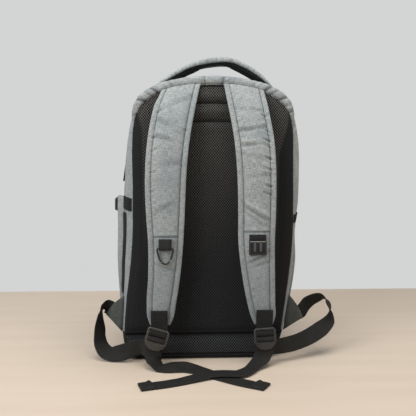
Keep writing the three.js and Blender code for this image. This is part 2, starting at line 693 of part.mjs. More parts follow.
// The fastened buckle on the left pocket and the strap from it to the bag's front seam.
function makeReleaseBuckle() {
  const { depths, stand } = pocketShape(-1, leftPocketTop, leftPocketBulge);
  const over = (depth, row) => stand(depth, row) + pocketWall + 2 * gap;
  const half = compressionWidth / 2;
  const middleDepth = (pocketRear + pocketFront) / 2;
  const stations = sideStations(-1, leftStrapHeight - half, leftStrapHeight + half, middleDepth);
  const from = releaseDepth + releaseLength + gap;
  const rows = between(from, bodyDepth - strapInset, [...depths, ...depthRows()].sort((a, b) => a - b));
  const clean = rows.filter((depth, i) => i === 0 || depth - rows[i - 1] > 0.05);
  addPiece("left_front_strap", surfaceStrip(stations, clean, webThickness, over), "webbing");

  const outline = new THREE.Shape();
  const tall = half + releaseGrip;
  outline.moveTo(0, -half);
  outline.lineTo(releaseLength * 0.3, -half);
  outline.lineTo(releaseLength * 0.45, -tall);
  outline.lineTo(releaseLength * 0.62, -half * 0.8);
  outline.lineTo(releaseLength * 0.7, -tall);
  outline.lineTo(releaseLength, -half);
  outline.lineTo(releaseLength, half);
  outline.lineTo(releaseLength * 0.7, tall);
  outline.lineTo(releaseLength * 0.62, half * 0.8);
  outline.lineTo(releaseLength * 0.45, tall);
  outline.lineTo(releaseLength * 0.3, half);
  outline.lineTo(0, half);
  const geometry = new THREE.ExtrudeGeometry(outline, { depth: releaseThickness, bevelEnabled: false });
  const mesh = addPiece("left_release", geometry, "plastic");
  const middle = rowAtHeight(leftStrapHeight, -1, releaseDepth);
  const hold = (depth) => bodyPoint(middle, -1, depth, over(depth, middle) + 2 * gap);
  const near = hold(releaseDepth);
  const outermost = Math.min(near.x, hold(releaseDepth + releaseLength).x);
  mesh.matrixAutoUpdate = false;
  mesh.matrix.makeBasis(vec(0, 1, 0), vec(0, 0, 1), vec(1, 0, 0));
  mesh.matrix.setPosition(vec(outermost - releaseThickness - gap, near.y, leftStrapHeight));
}

// A sweep of a flat band along a route. Each station has its place, the direction of its width and,
// if it differs, its thickness.
function bandGeometry(stations, width, thickness, divisions) {
  const centre = new THREE.CatmullRomCurve3(stations.map((s) => s.at), false, "centripetal");
  const spans = stations.length - 1;
  const rows = [];
  for (let n = 0; n <= spans * divisions; n += 1) {
    const u = n / (spans * divisions);
    const k = Math.min(Math.floor(n / divisions), spans - 1);
    const share = n / divisions - k;
    const tangent = centre.getTangent(Math.min(Math.max(u, 1e-4), 1 - 1e-4));
    const across = stations[k].w.clone().lerp(stations[k + 1].w, share);
    across.addScaledVector(tangent, -across.dot(tangent)).normalize();
    const normal = tangent.clone().cross(across);
    const thick = mix(stations[k].thick ?? thickness, stations[k + 1].thick ?? thickness, share);
    const place = centre.getPoint(u);
    const corner = (a, b) => place.clone()
      .addScaledVector(across, (a * width) / 2)
      .addScaledVector(normal, (b * thick) / 2);
    const section = [corner(-1, -1), corner(1, -1), corner(1, 1), corner(-1, 1)];
    const lift = Math.max(0, gap - Math.min(...section.map((p) => p.z)));
    rows.push(section.map((p) => p.setZ(p.z + lift)));
  }
  return tubeGeometry(rows);
}

// A band on the body's surface across the side, from one depth to another.
function sideBand(height, side, from, to, width, stand) {
  const stations = sideStations(side, height - width / 2, height + width / 2, from);
  return surfaceStrip(stations, between(from, to, depthRows()), webThickness, stand);
}

function makeCompressionStraps() {
  const short = sideBand(leftStrapHeight, -1, strapInset, pocketRear - strapInset, compressionWidth);
  addPiece("left_compression_strap", short, "webbing");
  const whole = sideBand(rightStrapHeight, 1, strapInset, bodyDepth - strapInset, rightStrapWidth);
  addPiece("right_compression_strap", whole, "webbing");
}

// The centre line of a shoulder strap at a share of its table.
function padStation(row, prefix) {
  const height = row.rise * seamHeight;
  const across = (row[`${prefix}At`] * panelWidth) / 2;
  const half = (padThickness * row.thick) / 2;
  const out = panelOut(across, height) + 2 * gap + armGap * row.gap + half;
  return {
    at: vec(across, seamY - out, height),
    half,
    wide: padWidth * row[`${prefix}Wide`],
  };
}

function makePad(name, prefix) {
  const stations = PAD_ROWS.map((row) => padStation(row, prefix));
  const rows = stations.map((station, i) => {
    const before = stations[Math.max(i - 1, 0)].at;
    const after = stations[Math.min(i + 1, stations.length - 1)].at;
    const run = after.clone().sub(before).normalize();
    const normal = vec(0, run.z, -run.y).normalize();
    const ring = [];
    const add = (share, half) => ring.push(
      station.at.clone()
        .add(vec((share * station.wide) / 2, 0, 0))
        .addScaledVector(normal, half * station.half),
    );
    PAD_SECTION.forEach(({ across, half }) => add(across, half));
    PAD_SECTION.slice(0, -1).reverse().forEach(({ across, half }) => add(-across, half));
    PAD_SECTION.forEach(({ across, half }) => add(-across, -half));
    PAD_SECTION.slice(0, -1).reverse().forEach(({ across, half }) => add(across, -half));
    return ring;
  });
  addPiece(name, tubeGeometry(rows), "greyCloth");
}

// The places of a buckle's parts down its length.
const slot = webThickness + 2 * slack;
const wideSlot = 2 * webThickness + 3 * slack;
const lockRows = {
  firstBar: lockRim + slot,
  secondBar: lockRim + slot + lockBar + wideSlot,
  tongue: lockRim + slot + lockBar + wideSlot + lockBar + slot,
};
const lockLength = lockRows.tongue + tongueLength;
const lockWidth = webWidth + 2 * slack + 2 * lockRim;
const layer = lockThickness / 2 + slack + webThickness / 2;
const secondLayer = layer + webThickness + slack;

// A buckle's own directions at the lower end of a pad: down its length, across and out to the viewer.
function lockFrame(prefix, turn) {
  const end = padStation(PAD_ROWS[PAD_ROWS.length - 1], prefix);
  const out = vec(0, -1, 0);
  const down = vec(Math.sin(turn), 0, -Math.cos(turn));
  const across = vec(Math.cos(turn), 0, Math.sin(turn));
  const front = end.at.clone().add(vec(0, -end.half - gap - webThickness / 2, 0));
  const origin = front.clone().addScaledVector(out, layer).addScaledVector(down, lockDrop);
  const place = (d, n) => origin.clone().addScaledVector(down, d).addScaledVector(out, n);
  return { out, down, across, place };
}

function makeLock(name, frame) {
  const half = lockWidth / 2;
  const outline = new THREE.Shape();
  outline.moveTo(-half + lockCorner, 0);
  outline.lineTo(half - lockCorner, 0);
  outline.lineTo(half, -lockCorner);
  outline.lineTo(half, -lockRows.tongue);
  outline.lineTo(half - lockRim, -lockRows.tongue - tongueLength * 0.45);
  outline.lineTo(half * 0.5, -lockLength + tongueTip);
  outline.lineTo(0, -lockLength);
  outline.lineTo(-half * 0.5, -lockLength + tongueTip);
  outline.lineTo(-half + lockRim, -lockRows.tongue - tongueLength * 0.45);
  outline.lineTo(-half, -lockRows.tongue);
  outline.lineTo(-half, -lockCorner);
  const windows = [
    [lockRim, lockRows.firstBar],
    [lockRows.firstBar + lockBar, lockRows.secondBar],
    [lockRows.secondBar + lockBar, lockRows.tongue],
  ];
  const geometry = windowedPlate(outline, lockThickness, half - lockRim, windows);
  geometry.translate(0, 0, -lockThickness / 2);
  const mesh = addPiece(name, geometry, "plastic");
  mesh.matrixAutoUpdate = false;
  mesh.matrix.makeBasis(frame.across, frame.down.clone().negate(), frame.out);
  mesh.matrix.setPosition(frame.place(0, 0));
}

// Stations round a corner of a bar: the corner's place, the first and last direction in degrees
// (0 is down the buckle, 90 towards the viewer).
function roundCorner(frame, d, n, first, last) {
  const radius = slack + webThickness / 2;
  return [0, 0.5, 1].map((share) => {
    const turn = THREE.MathUtils.degToRad(mix(first, last, share));
    return { at: frame.place(d + Math.cos(turn) * radius, n + Math.sin(turn) * radius), w: frame.across };
  });
}

// The webbing sewn on a pad's end and folded round the buckle's first bar.
function makeLockLoop(name, prefix, frame) {
  const face = lockThickness / 2;
  const from = lockRows.firstBar;
  const to = from + lockBar;
  const level = vec(1, 0, 0);
  const up = (distance) => {
    const at = frame.place(0, -layer).add(vec(0, 0, distance));
    at.y = Math.min(at.y, padFront(prefix, at.z).y - webThickness / 2);
    return { at, w: level };
  };
  const stations = [
    ...[1, 0.7, 0.45, 0.22].map((share) => up(share * patchHeight)),
    { at: frame.place(0, -layer), w: frame.across },
    ...roundCorner(frame, lockRim, -face, -90, 0),
    ...roundCorner(frame, from, face, 180, 90),
    ...roundCorner(frame, to, face, 90, 0),
    ...roundCorner(frame, to, -face, 0, -90),
    { at: frame.place(lockRim + slack, -secondLayer - slack), w: frame.across },
    { at: frame.place(slack, -secondLayer - slack), w: frame.across },
  ];
  addPiece(name, bandGeometry(stations, webWidth, webThickness, 2), "webbing");
}

// A wing: a flat tab sewn to the bag's side, whose tip holds the webbing.
function wingFrame(side) {
  const hold = (height) => {
    const row = rowAtHeight(height, side, wingDepth + wingThickness);
    const on = bodyPoint(row, side, wingDepth + wingThickness, 3 * gap);
    return vec(on.x, seamY + wingDepth, height);
  };
  const top = hold(wingTop);
  const bottom = hold(wingBottom);
  const shape = side < 0 ? WING_TIPS.left : WING_TIPS.right;
  const tip = ([out, down, back]) => top.clone().add(
    vec(side * out * wingReach, back * wingReach, down * wingReach),
  );
  const upper = tip(shape.upper);
  const lower = tip(shape.lower);
  return { top, bottom, upper, lower };
}

function makeWing(name, side) {
  const { top, bottom, upper, lower } = wingFrame(side);
  const back = vec(0, wingThickness, 0);
  const middle = [bottom.clone().lerp(top, 0.5), upper.clone().lerp(lower, 0.5)];
  const rows = [[top, upper], middle, [bottom, lower]];
  const outer = rows.map((row) => row.map((p) => p.clone()));
  const inner = rows.map((row) => row.map((p) => p.clone().add(back)));
  addPiece(name, sheetGeometry(outer, inner), "greyCloth");
}

// The webbing's route through the buckle: up behind the second bar, over it, and down under the tongue.
function throughLock(frame) {
  const face = lockThickness / 2;
  const from = lockRows.secondBar;
  const to = from + lockBar;
  const w = frame.across;
  const behind = -secondLayer - slack;
  return {
    into: [
      { at: frame.place(lockLength - lockLead, behind), w },
      { at: frame.place(lockRows.tongue, behind), w },
      { at: frame.place(to, -layer - slack), w },
      ...roundCorner(frame, from, -face, -90, -180),
    ],
    out: [
      ...roundCorner(frame, from, face, 180, 90),
      ...roundCorner(frame, to, face, 90, 0),
      ...roundCorner(frame, lockRows.tongue, -face, -180, -90),
      { at: frame.place(lockRows.tongue + tongueLength / 2, -layer), w },
      { at: frame.place(lockLength, -layer), w },
    ],
  };
}

function makeWebbing(name, side, frame, loop, tail) {
  const { upper, lower } = wingFrame(side);
  const edge = lower.clone().sub(upper).normalize();
  const behind = vec(0, wingThickness + gap + webThickness / 2 + wingSpare, 0);
  const start = upper.clone().lerp(lower, 0.5).add(behind);
  const inward = vec(-side * -edge.z, 0, side * -edge.x).normalize();
  const sewn = start.clone().addScaledVector(inward, wingHold);
  const path = throughLock(frame);
  const finish = path.into[0].at.clone();
  const stations = [{ at: sewn, w: edge }, { at: start, w: edge }];
  for (const row of loop) {
    const at = start.clone().lerp(finish, row.along);
    at.add(vec(side * row.out * loopReach, row.back * loopBack, row.up * loopRise));
    stations.push({ at, w: vec(...row.w) });
  }
  stations.push(...path.into, ...path.out);
  const exit = path.out[path.out.length - 1].at;
  const drop = exit.z;
  tail.forEach((row, i) => {
    const at = vec(exit.x + row.across * tailReach, exit.y - row.front * tailReach, 0);
    const w = vec(...row.w);
    const stand = (Math.abs(w.clone().normalize().z) * webWidth) / 2;
    const rest = webThickness / 2 + gap + row.lay * (webThickness + gap);
    at.z = Math.max(row.up * drop, rest + stand);
    stations.push({ at, w });
    if (i === tail.length - 1) {
      const run = at.clone().sub(stations[stations.length - 2].at).normalize();
      const hem = at.clone().addScaledVector(run, hemStep);
      hem.z = webThickness + gap;
      const end = hem.clone().addScaledVector(run, tailHem);
      stations.push({ at: hem, w, thick: 2 * webThickness });
      stations.push({ at: end, w, thick: 2 * webThickness });
    }
  });
  addPiece(name, bandGeometry(stations, webWidth, webThickness, 2), "webbing");
}

// A point on a pad's front face.
function padFront(prefix, height) {
  const column = (name) => readTable(PAD_ROWS, "rise", height / seamHeight, name);
  const row = { rise: height / seamHeight, gap: column("gap"), thick: column("thick") };
  row[`${prefix}At`] = column(`${prefix}At`);
  row[`${prefix}Wide`] = column(`${prefix}Wide`);
  const station = padStation(row, prefix);
  return station.at.add(vec(0, -station.half - gap, 0));
}

// The metal ring and the webbing tab that carries it.
function makeRing() {
  const face = padFront("left", ringBarHeight);
  const barY = face.y - webThickness - gap - ringWire / 2;
  const section = 8;
  const legs = [
    { across: -1, down: 0.06 }, { across: -0.94, down: 0 }, { across: 0, down: 0 }, { across: 0.94, down: 0 },
    { across: 1, down: 0.06 }, { across: 0.93, down: 0.3 }, { across: 0.72, down: 0.66 },
    { across: 0.42, down: 0.92 }, { across: 0, down: 1 }, { across: -0.42, down: 0.92 },
    { across: -0.72, down: 0.66 }, { across: -0.93, down: 0.3 },
  ];
  const half = (ringWidth - ringWire) / 2;
  const route = legs.map(({ across, down }) => vec(across * half, 0, -down * (ringHeight - ringWire)));
  const rows = route.map((p, i) => {
    const before = route[(i + route.length - 1) % route.length];
    const after = route[(i + 1) % route.length];
    const tangent = after.clone().sub(before).normalize();
    const side = vec(0, 1, 0);
    const normal = tangent.clone().cross(side);
    const ring = [];
    for (let k = 0; k < section; k += 1) {
      const turn = ((k + 0.5) / section) * 2 * Math.PI;
      ring.push(p.clone()
        .addScaledVector(side, (Math.cos(turn) * ringWire) / 2)
        .addScaledVector(normal, (Math.sin(turn) * ringWire) / 2));
    }
    return ring;
  });
  const mesh = addPiece("ring", tubeGeometry(rows, true), "metal");
  mesh.position.set(face.x, barY, ringBarHeight);

  const hole = ringWire / 2 + gap;
  const wrap = hole + webThickness;
  const tab = new THREE.Shape();
  tab.moveTo(0, ringLoopHeight);
  tab.lineTo(-webThickness, ringLoopHeight);
  tab.lineTo(-wrap, ringLoopFold);
  tab.absarc(0, 0, wrap, Math.PI, 2 * Math.PI, false);
  tab.lineTo(wrap, ringLoopHeight);
  const bore = new THREE.Path();
  bore.absarc(0, 0, hole, 0, 2 * Math.PI, true);
  tab.holes.push(bore);
  const width = ringWidth - 2 * ringWire - ringLoopSpare;
  const geometry = new THREE.ExtrudeGeometry(tab, { depth: width, bevelEnabled: false, curveSegments: 8 });
  const loop = addPiece("ring_loop", geometry, "webbing");
  loop.matrixAutoUpdate = false;
  loop.matrix.makeBasis(vec(0, 1, 0), vec(0, 0, 1), vec(1, 0, 0));
  loop.matrix.setPosition(vec(face.x - width / 2, barY, ringBarHeight));
}

// The plastic keeper on the right pad, held by a webbing tab.
function makeKeeper() {
  const face = padFront("right", keeperTop - keeperHeight / 2);
  const half = webWidth / 2 + keeperSpare;
  const outline = new THREE.Shape();
  outline.moveTo(-half, 0);
  outline.lineTo(half, 0);
  outline.lineTo(half, -keeperHeight);
  outline.lineTo(-half, -keeperHeight);
  const windows = [[0.23, 0.41], [0.6, 0.78]].map((pair) => pair.map((share) => share * keeperHeight));
  const geometry = windowedPlate(outline, keeperThickness, half - keeperRim, windows);
  const mesh = addPiece("keeper", geometry, "plastic");
  mesh.matrixAutoUpdate = false;
  mesh.matrix.makeBasis(vec(1, 0, 0), vec(0, 0, 1), vec(0, -1, 0));
  mesh.matrix.setPosition(vec(face.x, face.y, keeperTop));
  const level = vec(1, 0, 0);
  const y = face.y - webThickness / 2;
  addPiece(
    "keeper_tab",
    bandGeometry([
      { at: vec(face.x, y, keeperTop + gap), w: level },
      { at: vec(face.x, y, keeperTop + gap + tabHeight), w: level },
    ], webWidth, webThickness, 1),
    "webbing",
  );
}

// The haul handle over the bag's top, with a dark lining underneath.
function makeHandle() {
  const stations = HANDLE_ROWS.map(({ across, lift, thick }) => {
    const x = (across * handleSpan) / 2;
    return { x, lift: lift * handleHeight, thick, ground: topAt(x, handleDepth) };
  });
  const y = seamY + handleDepth;
  const band = (lower, upper) => stations.map(({ x, lift, thick, ground }, i) => {
    const before = stations[Math.max(i - 1, 0)];
    const after = stations[Math.min(i + 1, stations.length - 1)];
    const rise = (s) => s.ground + s.lift;
    const run = vec(after.x - before.x, 0, rise(after) - rise(before)).normalize();
    const normal = vec(-run.z, 0, run.x);
    const foot = vec(x, y, ground + 2 * gap + lift);
    const corner = (side, height) => foot.clone()
      .addScaledVector(normal, height * thick)
      .add(vec(0, (side * handleWidth) / 2, 0));
    const half = (upper - lower) * 0.3;
    return [
      corner(-0.9, lower), corner(0.9, lower), corner(1, lower + half),
      corner(0.9, upper), corner(-0.9, upper), corner(-1, lower + half),
    ];
  });
  addPiece("handle_lining", tubeGeometry(band(0, handleLining)), "blackCloth");
  const low = handleLining + 2 * gap;
  addPiece("handle", tubeGeometry(band(low, low + handleThickness)), "greyCloth");
}

makeGusset();
makeBase();
makeFrontPanel();
makeBackPanel();
makeLowerBand();
makeMainZip();
makePull("left_pull", ZIP_ROW + 1, -1);
makePull("right_pull", ZIP_ROW + 1, 1);
makeSideZip();
makePocket("left_pocket", -1, leftPocketTop, leftPocketBulge);
makePocket("right_pocket", 1, rightPocketTop, rightPocketBulge);
makeCompressionStraps();
makeReleaseBuckle();
makePad("left_pad", "left");
makePad("right_pad", "right");
const leftFrame = lockFrame("left", THREE.MathUtils.degToRad(leftLockTurn));
const rightFrame = lockFrame("right", THREE.MathUtils.degToRad(rightLockTurn));
makeLock("left_buckle", leftFrame);
makeLock("right_buckle", rightFrame);
makeLockLoop("left_buckle_loop", "left", leftFrame);
makeLockLoop("right_buckle_loop", "right", rightFrame);
makeWing("left_wing", -1);
makeWing("right_wing", 1);
makeWebbing("left_webbing", -1, leftFrame, LEFT_LOOP, LEFT_TAIL);
makeWebbing("right_webbing", 1, rightFrame, RIGHT_LOOP, RIGHT_TAIL);
makeRing();
makeKeeper();
makeHandle();

export default root;
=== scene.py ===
# %% [markdown]
# # A laptop backpack, seen from its straps' side
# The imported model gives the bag's pieces at their real size. This script dresses them: cloth that
# sags and puckers, padded straps with sewn edges, open mesh, webbing, buckles and stitches.
# It is read from top to bottom, like a notebook, and lengths are in metres.

import math

import bmesh
import bpy
import numpy as np
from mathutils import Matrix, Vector, noise
from mathutils.bvhtree import BVHTree


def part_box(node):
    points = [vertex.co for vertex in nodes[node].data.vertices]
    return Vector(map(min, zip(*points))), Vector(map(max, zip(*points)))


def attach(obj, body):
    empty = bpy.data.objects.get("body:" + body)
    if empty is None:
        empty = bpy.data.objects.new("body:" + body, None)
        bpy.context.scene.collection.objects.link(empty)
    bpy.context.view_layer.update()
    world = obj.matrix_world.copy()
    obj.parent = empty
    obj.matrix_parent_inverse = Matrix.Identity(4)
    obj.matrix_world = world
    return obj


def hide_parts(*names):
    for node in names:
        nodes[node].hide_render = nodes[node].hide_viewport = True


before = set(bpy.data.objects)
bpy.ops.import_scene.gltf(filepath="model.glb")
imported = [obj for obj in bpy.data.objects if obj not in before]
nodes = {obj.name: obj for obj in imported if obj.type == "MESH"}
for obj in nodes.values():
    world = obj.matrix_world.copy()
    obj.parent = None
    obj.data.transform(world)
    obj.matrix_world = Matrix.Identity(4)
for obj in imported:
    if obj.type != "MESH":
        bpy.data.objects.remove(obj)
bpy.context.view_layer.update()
MM = 0.001
print("pieces in the model:", len(nodes))

# %% [markdown]
# ## Camera, floor and light
# The bag stands on a table and is photographed from just under a metre away, at half its height.
# A long lens would flatten it and a short one would stretch the straps on the table, so the lens
# and the place are those that bring the bag's own edges to where the photograph has them.

# %% Camera, floor and light
scene = bpy.context.scene
camera_data = bpy.data.cameras.new("camera")
camera_data.lens = 44.39
camera_data.sensor_width = 36
camera = bpy.data.objects.new("camera", camera_data)
camera.location = (-0.04187, -0.8739, 0.269)
camera.rotation_euler = (math.radians(90 - 2.3), 0, math.radians(-2.41))
scene.collection.objects.link(camera)
scene.camera = camera
scene.view_settings.view_transform = "Standard"

FLOOR_BACK = 0.46
FLOOR_SIDE = 2.5
FLOOR_FRONT = 1.6
floor_bm = bmesh.new()
bmesh.ops.create_grid(floor_bm, x_segments=1, y_segments=1, size=1)
for vert in floor_bm.verts:
    vert.co.x *= FLOOR_SIDE
    vert.co.y = FLOOR_BACK if vert.co.y > 0 else -FLOOR_FRONT
floor_mesh = bpy.data.meshes.new("floor")
floor_bm.to_mesh(floor_mesh)
floor_bm.free()
floor = bpy.data.objects.new("floor", floor_mesh)
scene.collection.objects.link(floor)


def add_light(name, place, aim, size, power, colour):
    """A soft square light at a place, turned to its aim."""
    data = bpy.data.lights.new(name, "AREA")
    data.size = size
    data.energy = power
    data.color = colour
    lamp = bpy.data.objects.new(name, data)
    lamp.location = place
    lamp.rotation_euler = (Vector(aim) - Vector(place)).to_track_quat("-Z", "Y").to_euler()
    scene.collection.objects.link(lamp)


add_light("window", (-1.25, -1.25, 1.15), (0, 0, 0.28), 1.0, 30, (0.94, 0.975, 1.0))
add_light("ceiling", (0.1, -0.45, 1.7), (0, 0, 0.35), 1.2, 22, (1.0, 0.985, 0.96))
add_light("room", (1.5, -1.0, 0.8), (0, 0, 0.2), 1.2, 5, (1.0, 0.97, 0.93))

# The camera sees a pale wall; the light that comes from it is dimmer, as from a wall in half shade.
world = bpy.data.worlds.new("room light")
world.use_nodes = True
room = world.node_tree
wall = room.nodes["Background"]
wall.inputs["Color"].default_value = (0.70, 0.71, 0.705, 1)
wall.inputs["Strength"].default_value = 0.93
dim_wall = room.nodes.new("ShaderNodeBackground")
dim_wall.inputs["Color"].default_value = (0.68, 0.71, 0.74, 1)
dim_wall.inputs["Strength"].default_value = 0.6
seen = room.nodes.new("ShaderNodeLightPath")
choice = room.nodes.new("ShaderNodeMixShader")
room.links.new(seen.outputs["Is Camera Ray"], choice.inputs[0])
room.links.new(dim_wall.outputs[0], choice.inputs[1])
room.links.new(wall.outputs[0], choice.inputs[2])
room.links.new(choice.outputs[0], room.nodes["World Output"].inputs["Surface"])
scene.world = world
print("camera", tuple(round(c, 3) for c in camera.location))

# %% [markdown]
# ## Helpers for materials
# Materials here are small networks of nodes. Short helpers make a node, fill its sockets and do
# one step of arithmetic, so that each network reads as a list of steps.


# %% Helpers for materials
def fill(tree, made, inputs):
    """Sets a node's sockets to values, or links them to other nodes' sockets."""
    for key, value in inputs.items():
        if isinstance(value, bpy.types.NodeSocket):
            tree.links.new(value, made.inputs[key])
        else:
            made.inputs[key].default_value = value
    return made


def add_node(tree, kind, inputs=None, **settings):
    """A shader node with its sockets set or linked."""
    made = tree.nodes.new("ShaderNode" + kind)
    for name, value in settings.items():
        setattr(made, name, value)
    return fill(tree, made, inputs or {})


def calc(tree, operation, a, b=0.0, c=0.0):
    """One step of arithmetic on values."""
    return add_node(tree, "Math", {0: a, 1: b, 2: c}, operation=operation).outputs[0]


def plus(tree, a, b):
    """The sum of two values."""
    return calc(tree, "ADD", a, b)


def times(tree, a, b):
    """The product of two values."""
    return calc(tree, "MULTIPLY", a, b)


def flipped(tree, value):
    """1 where the value is 0, and 0 where it is 1."""
    return calc(tree, "SUBTRACT", 1.0, value)


def between(tree, value, low, high):
    """0 below low, 1 above high and a soft step between."""
    span = {"Value": value, "From Min": low, "From Max": high, "To Min": 0.0, "To Max": 1.0}
    return add_node(tree, "MapRange", span, interpolation_type="SMOOTHSTEP").outputs[0]


def stretched(tree, vector, scale):
    """A place with each of its axes scaled by a number of its own."""
    return add_node(tree, "VectorMath", {0: vector, 1: scale}, operation="MULTIPLY").outputs[0]


def noisy(tree, vector, scale, detail=2.0):
    """Soft noise from 0 to 1."""
    noise_node = add_node(tree, "TexNoise", {"Vector": vector, "Scale": scale, "Detail": detail})
    return noise_node.outputs["Fac"]


def mixed(tree, share, a, b):
    """Two colours mixed: a where share is 0, and b where it is 1."""
    a, b = [c if isinstance(c, bpy.types.NodeSocket) else (*c, 1) for c in (a, b)]
    mix = add_node(tree, "Mix", {"Factor": share, 6: a, 7: b}, data_type="RGBA")
    return mix.outputs[2]


def new_group(name, inputs, outputs):
    """A node group with named sockets, and its inner input and output nodes."""
    tree = bpy.data.node_groups.new(name, "ShaderNodeTree")
    for socket, kind, value in inputs:
        made = tree.interface.new_socket(socket, in_out="INPUT", socket_type="NodeSocket" + kind)
        if value is not None:
            made.default_value = value
    for socket, kind in outputs:
        tree.interface.new_socket(socket, in_out="OUTPUT", socket_type="NodeSocket" + kind)
    return tree, tree.nodes.new("NodeGroupInput"), tree.nodes.new("NodeGroupOutput")


def place_group(tree, group, inputs):
    """A group placed in a material, with its sockets set or linked."""
    return add_node(tree, "Group", inputs, node_tree=group)


# %% [markdown]
# ## Worn and glinting edges
# Buckle edges are painted lighter than the rest. Most of this is painted highlight, where the edges
# catch the light, and some is polish from handling. The wings' edges are painted lighter the same way.
# Where a rounded copy of the surface's normal differs from its own, there is an edge.

# %% Worn and glinting edges
wear_and_glint, given, made = new_group(
    "worn and glinting edges",
    [("Vector", "Vector", None), ("Radius", "Float", 0.6 * MM)],
    [("Mask", "Float"), ("Grain", "Float")],
)
bevelled = add_node(wear_and_glint, "Bevel", {"Radius": given.outputs["Radius"]}, samples=4)
flat_normal = add_node(wear_and_glint, "NewGeometry").outputs["Normal"]
both = {0: bevelled.outputs["Normal"], 1: flat_normal}
agree = add_node(wear_and_glint, "VectorMath", both, operation="DOT_PRODUCT")
scuffs = noisy(wear_and_glint, given.outputs["Vector"], 350.0)
mask = flipped(wear_and_glint, between(wear_and_glint, agree.outputs["Value"], 0.86, 0.995))
wear_and_glint.links.new(times(wear_and_glint, mask, between(wear_and_glint, scuffs, 0.3, 0.55)), made.inputs["Mask"])
wear_and_glint.links.new(noisy(wear_and_glint, given.outputs["Vector"], 2600.0), made.inputs["Grain"])

# %% [markdown]
# ## The grey melange
# Melange cloth is woven from light and dark yarns of uneven thickness. Seen close, it shows short
# streaks along both directions of the weave, and seen from afar soft cloudy patches. A flat grey
# would look like plastic, and an image would not follow the folds, so two stretched noises make
# the streaks, a third the clouds, and a fine wave the weave's own relief.

# %% The grey melange
melange, given, made = new_group(
    "melange weave",
    [("Vector", "Vector", None), ("Light", "Color", (0.4, 0.42, 0.41, 1)),
     ("Dark", "Color", (0.14, 0.15, 0.155, 1)), ("Cool", "Color", (0.2, 0.23, 0.26, 1))],
    [("Color", "Color"), ("Height", "Float"), ("Roughness", "Float")],
)
place = given.outputs["Vector"]
weft = noisy(melange, stretched(melange, place, (130, 130, 1150)), 1.0, 3.0)
warp = noisy(melange, stretched(melange, place, (1150, 1150, 130)), 1.0, 3.0)
clouds = noisy(melange, place, 38.0, 3.0)
wide_clouds = noisy(melange, place, 11.0, 2.0)
yarns = plus(melange, times(melange, weft, 0.55), times(melange, warp, 0.45))
yarns = plus(melange, yarns, times(melange, calc(melange, "SUBTRACT", clouds, 0.5), 0.12))
lightness = between(melange, yarns, 0.3, 0.68)
dyed = mixed(melange, lightness, given.outputs["Dark"], given.outputs["Light"])
cool_share = times(melange, between(melange, wide_clouds, 0.45, 0.7), 0.35)
melange.links.new(mixed(melange, cool_share, dyed, given.outputs["Cool"]), made.inputs["Color"])
split = add_node(melange, "SeparateXYZ", {"Vector": place})
THREAD_PITCH = 0.9 * MM
across = plus(melange, split.outputs["X"], split.outputs["Y"])
wave_across = calc(melange, "SINE", times(melange, across, 2 * math.pi / THREAD_PITCH))
wave_up = calc(melange, "SINE", times(melange, split.outputs["Z"], 2 * math.pi / THREAD_PITCH))
weave = times(melange, wave_across, wave_up)
height = plus(melange, times(melange, weave, 0.2), yarns)
melange.links.new(height, made.inputs["Height"])
dullness = calc(melange, "SUBTRACT", 1.02, times(melange, yarns, 0.2))
melange.links.new(dullness, made.inputs["Roughness"])


def start_material(name):
    """A new material, its nodes and its shader."""
    material = bpy.data.materials.new(name)
    material.use_nodes = True
    tree = material.node_tree
    return material, tree, tree.nodes["Principled BSDF"]


def coordinates(tree, from_map):
    """Where the pattern is read: the piece's own map in metres, or its place in the frame."""
    source = add_node(tree, "TexCoord")
    if not from_map:
        return source.outputs["Object"]
    flat = add_node(tree, "SeparateXYZ", {"Vector": source.outputs["UV"]})
    upright = add_node(tree, "CombineXYZ", {"X": flat.outputs["X"], "Z": flat.outputs["Y"]})
    return upright.outputs[0]


def bump(tree, shader, height, strength, distance):
    """Relief on the surface, distance metres high."""
    relief = {"Height": height, "Strength": strength, "Distance": distance}
    made_bump = add_node(tree, "Bump", relief)
    tree.links.new(made_bump.outputs["Normal"], shader.inputs["Normal"])


